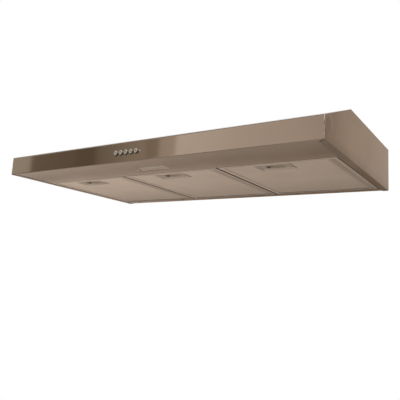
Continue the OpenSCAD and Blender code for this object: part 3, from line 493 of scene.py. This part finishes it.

# %% [markdown]
# The visible sheets are stainless steel with a warm tint. The fascia and the strip are brushed
# along the hood's width, and the side panels along its depth. A cut edge has no brushing and is
# bright, and its bright tone is partly a painted highlight where the fascia meets a side panel. It
# could have a material of its own, but then every cut face would have to be picked. Here a face
# that looks along the grain gets the colour of bare steel.

# %% Brushed steel
CHAMPAGNE = (0.400, 0.305, 0.235)
EDGE_TINT = (0.86, 0.78, 0.70)
BARE_STEEL_HIGHLIGHT = (0.85, 0.80, 0.74)
CUT_FACE = (0.9, 0.98)
SIDE_BORDER_SHADE = 0.62
GRAIN_FINE = 2600.0
GRAIN_LONG = 14.0
GRAIN_DEPTH = 0.00001
GRAIN_STRENGTH = 0.2
SMUDGE_SCALE = 9.0
GRAIN_SCALES = {
    "X": (GRAIN_LONG, GRAIN_FINE, GRAIN_FINE),
    "Y": (GRAIN_FINE, GRAIN_LONG, GRAIN_FINE),
}

# A grain that leans a little never lies square to a face, where it would have no direction
GRAIN_DIRECTIONS = {"X": (1.0, 0.02, 0.02), "Y": (0.02, 1.0, 0.02)}


def across_the_grain(tree, shader, grain):
    """Turns the stretched highlight so that it spreads across the grain on every face."""
    normal = tree.nodes.new("ShaderNodeNewGeometry").outputs["Normal"]
    across = vector_maths(tree, "CROSS_PRODUCT", normal, GRAIN_DIRECTIONS[grain])["Vector"]
    tree.links.new(across, shader.inputs["Tangent"])


def brushed_steel(name, grain, polish, anisotropy, smudge, tones, light_and_shade=False):
    """Steel with fine lines along one direction, broad smudges, and cut edges brightened, partly
    as a painted highlight.
    """
    material, tree, shader, place = start_material(name)
    shader.inputs["Metallic"].default_value = 1.0
    shader.inputs["Anisotropic"].default_value = anisotropy
    shader.inputs["Specular Tint"].default_value = (*EDGE_TINT, 1.0)
    across_the_grain(tree, shader, grain)
    lines = stretched_noise(tree, place, GRAIN_SCALES[grain])
    smudges = even_noise(tree, place, SMUDGE_SCALE, detail=2.0)
    fine_part = between(tree, lines, 0.0, 1.0 - smudge)
    broad_part = between(tree, smudges, 0.0, smudge)
    tone = maths(tree, "ADD", fine_part, broad_part)
    colour = blended(tree, tone, *shades(CHAMPAGNE, tones))
    # Cut faces get bare steel, brighter than the brushed sheet: partly their own tone, partly a
    # painted highlight
    colour = blended(tree, facing(tree, grain, *CUT_FACE), colour, BARE_STEEL_HIGHLIGHT)
    # Painted shade at the lower flange and the front edge of a side panel
    if light_and_shade:
        colour = blended(tree, shade_at_borders(tree, place), colour, shade(CHAMPAGNE, SIDE_BORDER_SHADE))
    tree.links.new(colour, shader.inputs["Base Color"])
    tree.links.new(between(tree, tone, *polish, 0.0, 1.0), shader.inputs["Roughness"])
    bumped(tree, shader, lines, GRAIN_DEPTH, GRAIN_STRENGTH)
    return material


steel_along_width = brushed_steel(
    "steel_along_width", "X", polish=(0.055, 0.085), anisotropy=0.95, smudge=0.4,
    tones=(0.92, 1.07),
)
steel_along_depth = brushed_steel(
    "steel_along_depth", "Y", polish=(0.10, 0.20), anisotropy=0.8, smudge=0.6,
    tones=(0.84, 1.10), light_and_shade=True,
)
print("brushed steel ready")

# %% [markdown]
# Inside, the sheets are galvanised. Zinc freezes in flat crystals, so the surface is a mosaic of
# patches that are each a little lighter or darker. A noise would blur them into each other, but
# a Voronoi texture gives each cell one tone with a sharp border, as the crystals have.

# %% Galvanised sheet
SPANGLE = 90.0
CRYSTAL_SHADES = (0.82, 1.08)
CRYSTAL_POLISH = (0.34, 0.52)


def galvanised(name, colour):
    """Zinc-coated sheet with crystal patches."""
    material, tree, shader, place = start_material(name)
    shader.inputs["Metallic"].default_value = 1.0
    cells = tree.nodes.new("ShaderNodeTexVoronoi")
    cells.inputs["Scale"].default_value = SPANGLE
    tree.links.new(place, cells.inputs["Vector"])
    patch = tree.nodes.new("ShaderNodeSeparateColor")
    tree.links.new(cells.outputs["Color"], patch.inputs["Color"])
    tone = blended(tree, patch.outputs["Red"], *shades(colour, CRYSTAL_SHADES))
    tree.links.new(tone, shader.inputs["Base Color"])
    polish = between(tree, patch.outputs["Green"], *CRYSTAL_POLISH, 0.0, 1.0)
    tree.links.new(polish, shader.inputs["Roughness"])
    return material


galvanised_sheet = galvanised("galvanised_sheet", (0.50, 0.49, 0.46))
# The rails above the gaps between the filters are painted nearly black, as painted shade in those
# gaps
gap_shade_sheet = galvanised("gap_shade_sheet", (0.08, 0.062, 0.046))
print("galvanised sheets ready")

# %% [markdown]
# Moulded plastic is dull in a fine-grained way. Its grain is a shallow bump, and handling leaves
# the polish uneven. Each moulding could have a network of its own, but they differ only in tone
# and polish, so one function serves the black, grey and pale ones.

# %% Moulded plastics
MOULD_GRAIN = 1400.0
MOULD_DEPTH = 0.00002
MOULD_STRENGTH = 0.6
WEAR_SCALE = 30.0
WEAR_SHADES = (0.9, 1.08)
WEAR_SHARE = 0.15


def moulded(name, colour, roughness, grain=MOULD_GRAIN):
    """Plastic with a fine moulded grain."""
    material, tree, shader, place = start_material(name)
    grains = even_noise(tree, place, grain, detail=2.0)
    wear = even_noise(tree, place, WEAR_SCALE, detail=4.0)
    tone = blended(tree, between(tree, wear, 0.0, 1.0), *shades(colour, WEAR_SHADES))
    tree.links.new(tone, shader.inputs["Base Color"])
    tree.links.new(uneven(tree, wear, roughness, WEAR_SHARE), shader.inputs["Roughness"])
    bumped(tree, shader, grains, MOULD_DEPTH, MOULD_STRENGTH)
    return material


black_plastic = moulded("black_plastic", (0.025, 0.025, 0.026), roughness=0.5)
grey_plastic = moulded("grey_plastic", (0.075, 0.075, 0.078), roughness=0.48)
wheel_plastic = moulded("wheel_plastic", (0.16, 0.155, 0.15), roughness=0.45)
pale_plastic = moulded("pale_plastic", (0.62, 0.60, 0.54), roughness=0.42)
block_plastic = moulded("block_plastic", (0.48, 0.45, 0.38), roughness=0.45)
motor_paint = moulded("motor_paint", (0.15, 0.145, 0.14), roughness=0.4, grain=700.0)
print("plastics ready")

# %% [markdown]
# Small metal parts are drawn, rolled or plated. One even colour would look like paint, so a noise
# clouds the tone and the polish. Rolling and drawing leave clouds that run with the metal, which
# a stretched noise gives, while plating clouds evenly.

# %% Plain metals
CLOUD_SHADES = (0.9, 1.05)
CLOUD_SHARE = 0.2


def plain_metal(name, colour, roughness, streak):
    """Drawn, rolled or plated metal with a light cloudiness."""
    material, tree, shader, place = start_material(name)
    shader.inputs["Metallic"].default_value = 1.0
    cloud = stretched_noise(tree, place, streak, detail=4.0)
    tone = blended(tree, between(tree, cloud, 0.0, 1.0), *shades(colour, CLOUD_SHADES))
    tree.links.new(tone, shader.inputs["Base Color"])
    tree.links.new(uneven(tree, cloud, roughness, CLOUD_SHARE), shader.inputs["Roughness"])
    return material


dark_chrome = plain_metal(
    "dark_chrome", (0.26, 0.215, 0.16), roughness=0.15, streak=(400.0, 400.0, 400.0))
zinc = plain_metal(
    "zinc", (0.58, 0.56, 0.52), roughness=0.28, streak=(60.0, 60.0, 60.0))
rolled_aluminium = plain_metal(
    "rolled_aluminium", (0.62, 0.61, 0.59), roughness=0.3, streak=(20.0, 900.0, 20.0))
can_aluminium = plain_metal(
    "can_aluminium", (0.60, 0.60, 0.58), roughness=0.25, streak=(600.0, 20.0, 600.0))
print("metals ready")

# %% [markdown]
# The lamp sits behind a satin moulding close in tone to the steel, and its bulb is opal glass.
# The small indicator beside the buttons is glass too, and darker. They could let all light
# through, but then whatever lies behind would show as a dark hole, so each lets only a small
# share through. The end faces of the moulding are painted lighter, as painted light on the ends of
# the recess, which lie in shade.

# %% Lamp finishes
LENS_COLOUR = (0.335, 0.27, 0.214)
LENS_ENDS_PAINTED_LIGHT = shade(LENS_COLOUR, 2.6)
LENS_ROUGHNESS = 0.28
LENS_THROUGH = 0.1
END_FACE = (0.8, 0.95)
RIPPLE_SCALE = 120.0
RIPPLE_SHADES = (0.95, 1.05)
RIPPLE_DEPTH = 0.00005
RIPPLE_STRENGTH = 0.5
HAZE_SCALE = 200.0
HAZE_SHADES = (0.96, 1.0)


def lens_material():
    """Satin moulding over the lamp, close in tone to the steel round it."""
    material, tree, shader, place = start_material("lamp_lens")
    ripple = even_noise(tree, place, RIPPLE_SCALE, detail=3.0)
    rippled = blended(tree, between(tree, ripple, 0.0, 1.0), *shades(LENS_COLOUR, RIPPLE_SHADES))
    # Painted light: faces that look along the hood's width, the ends of the recess, are lighter
    ends = facing(tree, "X", *END_FACE)
    tree.links.new(blended(tree, ends, rippled, LENS_ENDS_PAINTED_LIGHT), shader.inputs["Base Color"])
    shader.inputs["Roughness"].default_value = LENS_ROUGHNESS
    shader.inputs["Transmission Weight"].default_value = LENS_THROUGH
    bumped(tree, shader, ripple, RIPPLE_DEPTH, RIPPLE_STRENGTH)
    return material


def clouded_glass(name, colour, roughness, through):
    """Glass that is partly clouded."""
    material, tree, shader, place = start_material(name)
    haze = even_noise(tree, place, HAZE_SCALE, detail=3.0)
    tree.links.new(blended(tree, haze, *shades(colour, HAZE_SHADES)), shader.inputs["Base Color"])
    shader.inputs["Roughness"].default_value = roughness
    shader.inputs["Transmission Weight"].default_value = through
    return material


lamp_lens = lens_material()
opal_glass = clouded_glass("opal_glass", (0.86, 0.83, 0.74), roughness=0.2, through=0.2)
indicator_glass = clouded_glass("indicator_glass", (0.42, 0.37, 0.31), roughness=0.12, through=0.1)
print("lamp finishes ready")

# %% [markdown]
# A push button of this kind is plated plastic with a satin face. Its polished sides are painted
# darker as painted shade, and its upper rim brighter as a painted highlight of the light from
# above. Three materials could share the piece, but then its faces would have to be sorted. One
# material that reads which way each face looks does without that.

# %% Button chrome
BUTTON_WALL_SHADE = ((0.26, 0.21, 0.155), (0.32, 0.26, 0.19))
BUTTON_FACE = (0.40, 0.35, 0.29)
BUTTON_RIM_HIGHLIGHT = (0.95, 0.88, 0.80)
BUTTON_HAZE = 500.0
UPWARD = (0.08, 0.4)
WALL_TO_FACE_POLISH = (0.22, 0.42)


def button_chrome():
    """Satin face, with a painted highlight on the upper rim and painted shade on the polished
    sides.
    """
    material, tree, shader, place = start_material("button_chrome")
    shader.inputs["Metallic"].default_value = 1.0
    # Painted shade on the polished sides of the button
    wall_shade = blended(tree, even_noise(tree, place, BUTTON_HAZE, detail=2.0), *BUTTON_WALL_SHADE)
    front = facing(tree, "Y")
    # Painted highlight on faces that look upwards
    upward_highlight = between(tree, own_normal(tree)["Z"], 0.0, 1.0, *UPWARD)
    face = blended(tree, front, wall_shade, BUTTON_FACE)
    tree.links.new(blended(tree, upward_highlight, face, BUTTON_RIM_HIGHLIGHT), shader.inputs["Base Color"])
    polish = between(tree, front, *WALL_TO_FACE_POLISH, 0.0, 1.0)
    tree.links.new(polish, shader.inputs["Roughness"])
    return material


chrome_button = button_chrome()
print("button chrome ready")

# %% [markdown]
# The filters are aluminium: a folded channel round a fine mesh, with a lacquered handle. Shade is
# painted into the gaps round a channel, along its right edge and on the end walls of the handle's
# pocket. Painted light brightens the left border of a channel and the left end of the handle, and
# the mesh is darker beside the right border of each filter. All this could be painted on each
# filter, but the three are alike, so the place is folded by the distance between two filters and
# each rule is written once.

# %% Place on a filter
MESH_ALUMINIUM = (0.455, 0.358, 0.281)
FRAME_LOW, FRAME_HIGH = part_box("filter_frame_middle")
FILTER_EDGE = (FRAME_HIGH.x - FRAME_LOW.x) / 2
FILTER_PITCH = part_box("filter_frame_right")[0].x - FRAME_LOW.x
BAND_WIDTH = 0.011


def across_filter(tree, place):
    """Distance in metres right of the middle of a filter, alike for all three."""
    pitches = maths(tree, "MULTIPLY_ADD", split(tree, place)["X"], 1.0 / FILTER_PITCH, 0.5)
    share = maths(tree, "SUBTRACT", maths(tree, "FRACT", pitches), 0.5)
    return maths(tree, "MULTIPLY", share, FILTER_PITCH)


def beyond(tree, value, edge):
    """0 before an edge and 1 beyond it."""
    return maths(tree, "GREATER_THAN", value, edge)


def all_but(tree, value):
    """1 where a factor is 0, and 0 where it is 1."""
    return maths(tree, "SUBTRACT", 1.0, value)


print("filters", round(FILTER_PITCH, 4), "m apart")

# %% Painted light and shade on the channel, and a darker band on the mesh
ROLLED_EDGE = 0.004
WALL_REACH = 0.0005
PAINTED_LIGHT_BORDER = (0.505, 0.397, 0.312)
EDGE_PAINTED_SHADE = (0.115, 0.079, 0.052)
RECESS_SHADE = (0.045, 0.034, 0.025)
DARKENING_BEGINS = 0.031
DARKENING_IS_FULL = 0.021
BORDER_DARKENING = (FILTER_EDGE - DARKENING_BEGINS, FILTER_EDGE - DARKENING_IS_FULL)
BORDER_DARK_TONE = shade(MESH_ALUMINIUM, 0.70)


def channel_light_and_shade(tree, place, clean):
    """Painted shade in the gaps round a frame and on its right edge, and painted light on its left
    border.
    """
    across = across_filter(tree, place)
    left_border = all_but(tree, beyond(tree, across, BAND_WIDTH - FILTER_EDGE))
    edge = beyond(tree, across, FILTER_EDGE - ROLLED_EDGE)
    outer = beyond(tree, maths(tree, "ABSOLUTE", across), FILTER_EDGE - WALL_REACH)
    upright = all_but(tree, facing(tree, "Z"))
    inner_lip = maths(tree, "MULTIPLY", facing(tree, "X", *END_FACE), all_but(tree, outer))
    # Painted light on the left border; painted shade on the right edge and on upright faces in the
    # gaps
    bright = blended(tree, left_border, clean, PAINTED_LIGHT_BORDER)
    edged = blended(tree, edge, bright, EDGE_PAINTED_SHADE)
    return blended(tree, maths(tree, "SUBTRACT", upright, inner_lip), edged, RECESS_SHADE)


def border_darkening(tree, place, clean):
    """Darker mesh beside the right border of a filter."""
    # The mesh is darker beside the right border of each filter
    darkening = between(tree, across_filter(tree, place), 0.0, 1.0, *BORDER_DARKENING)
    return blended(tree, darkening, clean, BORDER_DARK_TONE)


print("grease film", round(BORDER_DARKENING[0], 4), "m right of a filter's middle")

# %% Painted light and shade in the pocket of a handle
POCKET_SHADE = (0.26, 0.20, 0.153)
PAINTED_LIGHT_END = (0.614, 0.483, 0.379)
POCKET_END_FACE = (0.6, 0.9)
HANDLE_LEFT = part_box("filter_handle_middle")[0].x


def pocket_light_and_shade(tree, place, clean):
    """Painted shade on the end faces of a handle's pocket, and painted light on the handle's left
    end.
    """
    past_left_end = beyond(tree, across_filter(tree, place), HANDLE_LEFT + BAND_WIDTH)
    ends = facing(tree, "X", *POCKET_END_FACE)
    # Painted light on the handle's left end wall, painted shade on the end walls past it
    light_and_shade = maths(tree, "MULTIPLY", ends, all_but(tree, past_left_end))
    shaded_ends = maths(tree, "MULTIPLY", ends, past_left_end)
    return blended(tree, shaded_ends, blended(tree, light_and_shade, clean, PAINTED_LIGHT_END), POCKET_SHADE)


print("handles begin", round(-HANDLE_LEFT, 4), "m left of a filter's middle")

# %% [markdown]
# Washed aluminium is neither a mirror nor paint. A full metal would mirror the cards like chrome,
# and a paint would lose the sheen, so the finish is about a third metal with a soft gloss. A
# broad noise clouds it, and towards the wall a painted shade darkens everything a little.

# %% Filter finishes
METAL_SHARE = 0.35
BLOOM_SCALE = 14.0
BLOOM_SHADES = (0.95, 1.04)
REAR_SHADE_REACH = (-0.03, 0.147)
REAR_SHADE = 0.82
FINE_SCALE = 900.0
FINE_SHARE = 0.15
FINE_STRENGTH = 0.4


def filter_metal(name, tone, roughness, gloss, painted_tone=None):
    """Aluminium with the dull bloom that washing leaves, and painted shade that darkens it towards
    the rear.
    """
    material, tree, shader, place = start_material(name)
    shader.inputs["Metallic"].default_value = METAL_SHARE
    shader.inputs["Specular IOR Level"].default_value = gloss
    shader.inputs["Specular Tint"].default_value = (*EDGE_TINT, 1.0)
    metal = shade(MESH_ALUMINIUM, tone)
    bloom = between(tree, even_noise(tree, place, BLOOM_SCALE, detail=5.0), 0.0, 1.0)
    colour = blended(tree, bloom, *shades(metal, BLOOM_SHADES))
    # Painted shade: the filters darken towards the rear
    darkening = between(tree, split(tree, place)["Y"], 0.0, 1.0, *REAR_SHADE_REACH)
    colour = blended(tree, darkening, colour, shade(metal, REAR_SHADE))
    # Some parts add painted light and shade of their own, or a darker band on the mesh
    if painted_tone:
        colour = painted_tone(tree, place, colour)
    tree.links.new(colour, shader.inputs["Base Color"])
    fine = even_noise(tree, place, FINE_SCALE, detail=2.0)
    tree.links.new(uneven(tree, fine, roughness, FINE_SHARE), shader.inputs["Roughness"])
    bumped(tree, shader, fine, GRAIN_DEPTH, FINE_STRENGTH)
    return material


mesh_metal = filter_metal(
    "mesh_metal", tone=1.0, roughness=0.42, gloss=0.3, painted_tone=border_darkening)
mesh_shade = filter_metal(
    "mesh_shade", tone=0.62, roughness=0.5, gloss=0.3)
channel_metal = filter_metal(
    "channel_metal", tone=0.96, roughness=0.6, gloss=0.05, painted_tone=channel_light_and_shade)
handle_lacquer = filter_metal(
    "handle_lacquer", tone=0.75, roughness=0.5, gloss=0.15, painted_tone=pocket_light_and_shade)
# The latch's dark tone is painted shade at the top of the handle's slot
shaded_latch_lacquer = filter_metal(
    "shaded_latch_lacquer", tone=0.56, roughness=0.5, gloss=0.1)
print("filter finishes ready")

# %% [markdown]
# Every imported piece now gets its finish. They could be assigned one by one, but left and right
# pieces share a finish and the beginning of their name, so one short list of beginnings covers
# all of them. Where two beginnings fit, the longer one is meant.

# %% Give every node its finish
FINISHES = {
    "top_shell": steel_along_width,
    "front_panel": steel_along_width,
    "rear_panel": steel_along_width,
    "side_panel": steel_along_depth,
    "filter_rail": gap_shade_sheet,
    "shell_rivets": zinc,
    "lamp_cover": lamp_lens,
    "lamp_tray": rolled_aluminium,
    "lamp_socket": pale_plastic,
    "lamp_bulb": opal_glass,
    "switch_body": black_plastic,
    "button_bezels": dark_chrome,
    "indicator_lens": indicator_glass,
    "button": chrome_button,
    "lead": black_plastic,
    "terminal_box": pale_plastic,
    "terminal_block": block_plastic,
    "motor_capacitors": can_aluminium,
    "cable_grommet": black_plastic,
    "scroll": grey_plastic,
    "inlet_plate": grey_plastic,
    "inlet_guard": black_plastic,
    "motor_shaft": zinc,
    "motor": motor_paint,
    "fan_wheel": wheel_plastic,
    "outlet_box": galvanised_sheet,
    "duct_collar": black_plastic,
    "collar_screws": zinc,
    "damper_flap": rolled_aluminium,
    "filter_frame": channel_metal,
    "filter_mesh": mesh_metal,
    "filter_handle": handle_lacquer,
    "filter_latch": shaded_latch_lacquer,
}


def finish_of(node):
    """The finish with the longest name that begins the node's name."""
    fitting = [start for start in FINISHES if node.startswith(start)]
    return FINISHES[max(fitting, key=len)]


for node_name, node in nodes.items():
    node.data.materials.clear()
    node.data.materials.append(finish_of(node_name))
print("finishes on", len(nodes), "nodes")

# %% [markdown]
# The faces of a grease filter are expanded aluminium: a sheet is slit and stretched until it opens
# into rows of diamonds. A picture of a mesh would look flat from nearby, and true holes in a sheet
# this fine would cost too many faces. Here a square lattice is turned by 45 degrees and flattened
# into diamonds, each diamond is inset to leave the strands, and its floor is pushed back. The
# lattice is cut to the frame afterwards, so that the strands end cleanly at the edges and at the
# handle.

# %% Lattice of diamonds
SPARE_CELLS = 4


def lattice(width, depth, cell):
    """Flat sheet of diamonds, larger than the rectangle it will be cut to."""
    reach = width / cell[0] + depth / cell[1]
    count = 2 * math.ceil(reach / 2) + SPARE_CELLS
    bm = bmesh.new()
    bmesh.ops.create_grid(bm, x_segments=count, y_segments=count, size=count / 2)
    bmesh.ops.rotate(bm, verts=bm.verts, matrix=Matrix.Rotation(math.pi / 4, 3, "Z"))
    flatten = (cell[0] / math.sqrt(2), cell[1] / math.sqrt(2), 1.0)
    bmesh.ops.scale(bm, verts=bm.verts, vec=flatten)
    return bm


def cut(bm, point, outward, remove):
    """Cuts along a plane, and may remove what lies beyond it."""
    everything = list(bm.verts) + list(bm.edges) + list(bm.faces)
    bmesh.ops.bisect_plane(bm, geom=everything, plane_co=point, plane_no=outward,
                           clear_outer=remove)


def cut_rectangle(bm, low, high, remove):
    """Cuts along the four sides of a rectangle, given by its lowest and highest corner."""
    for point, outward in (((low[0], 0, 0), (-1, 0, 0)), ((high[0], 0, 0), (1, 0, 0)),
                           ((0, low[1], 0), (0, -1, 0)), ((0, high[1], 0), (0, 1, 0))):
        cut(bm, point, outward, remove)


def cut_window(bm, window):
    """Removes the faces inside a rectangle."""
    (x0, y0), (x1, y1) = window
    cut_rectangle(bm, *window, False)
    inside = [face for face in bm.faces
              if x0 < face.calc_center_median().x < x1 and y0 < face.calc_center_median().y < y1]
    bmesh.ops.delete(bm, geom=inside, context="FACES")


print("lattice tools ready")

# %% Diamond mesh of one face
STRAND = 0.16
DIMPLE = 0.0005
FACE_THICKNESS = 0.0008
STRAND_SLOT = 0
FLOOR_SLOT = 1


def open_edges(bm):
    """Edges that belong to one face only."""
    return [edge for edge in bm.edges if len(edge.link_faces) == 1]


def mesh_face(width, depth, cell, window):
    """Diamond mesh cut to a rectangle, with a window and a flat back, dimples facing down."""
    bm = lattice(width, depth, cell)
    bmesh.ops.reverse_faces(bm, faces=bm.faces)
    floors = list(bm.faces)
    strands = bmesh.ops.inset_individual(
        bm, faces=floors, thickness=STRAND * cell[1], depth=-DIMPLE)
    for face in floors:
        face.material_index = FLOOR_SLOT
    for face in strands["faces"]:
        face.material_index = STRAND_SLOT
    cut_rectangle(bm, (-width / 2, -depth / 2), (width / 2, depth / 2), True)
    cut_window(bm, window)
    raised = bmesh.ops.extrude_edge_only(bm, edges=open_edges(bm))["geom"]
    for corner in [item for item in raised if isinstance(item, bmesh.types.BMVert)]:
        corner.co.z = FACE_THICKNESS
    bmesh.ops.triangle_fill(bm, edges=open_edges(bm), use_beauty=True, use_dissolve=False)
    bmesh.ops.recalc_face_normals(bm, faces=bm.faces)
    return bm


print("a face is", FACE_THICKNESS, "m thick")

# %% [markdown]
# A filter has two faces: a fine one below, with a window for the handle, and a coarse one above,
# with a window for the pocket that the handle sinks into the filter. Each face could be made
# three times, but the filters are alike, so both are made once round the middle of a filter and
# copied to the three places.

# %% Mesh pieces of the three filters
LOWER_CELL = (0.0050, 0.0030)
UPPER_CELL = (0.0090, 0.0054)
RIM_LAP = 0.001
POCKET_FRONT = 0.009
POCKET_SIDE = 0.0205
POCKET_DEPTH = 0.026


def windows(middle, handle):
    """Holes of the lower face, round the handle, and of the upper face, round its pocket."""
    (x0, y0, _), (x1, y1, _) = [corner - middle for corner in handle]
    lower = ((x0 + RIM_LAP, y0 + RIM_LAP), (x1 - RIM_LAP, y1 - RIM_LAP))
    pocket_y = y0 + POCKET_FRONT
    upper = ((x0 + POCKET_SIDE, pocket_y), (x1 - POCKET_SIDE, pocket_y + POCKET_DEPTH))
    return lower, upper


def two_faces(low, high, handle):
    """Lower and upper mesh face of one filter, as one mesh round the middle of the filter."""
    size = high - low
    lower_window, upper_window = windows((low + high) / 2, handle)
    lower = mesh_face(size.x, size.y, LOWER_CELL, lower_window)
    bmesh.ops.translate(lower, verts=lower.verts, vec=(0, 0, -size.z / 2))
    upper = mesh_face(size.x, size.y, UPPER_CELL, upper_window)
    bmesh.ops.scale(upper, verts=upper.verts, vec=(1, 1, -1))
    bmesh.ops.reverse_faces(upper, faces=upper.faces)
    bmesh.ops.translate(upper, verts=upper.verts, vec=(0, 0, size.z / 2))
    half = bpy.data.meshes.new("upper_half")
    upper.to_mesh(half)
    upper.free()
    lower.from_mesh(half)
    bpy.data.meshes.remove(half)
    return lower


pattern = two_faces(*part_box("filter_mesh_left"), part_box("filter_handle_left"))
for side in ("left", "middle", "right"):
    low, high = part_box("filter_mesh_" + side)
    copy = pattern.copy()
    bmesh.ops.translate(copy, verts=copy.verts, vec=(low + high) / 2)
    piece = link_mesh("diamond_mesh_" + side, copy)
    piece.data.materials.append(mesh_metal)
    piece.data.materials.append(mesh_shade)
    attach(piece, "filter_" + side)
    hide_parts("filter_mesh_" + side)
    print(piece.name, len(piece.data.polygons), "faces")
pattern.free()
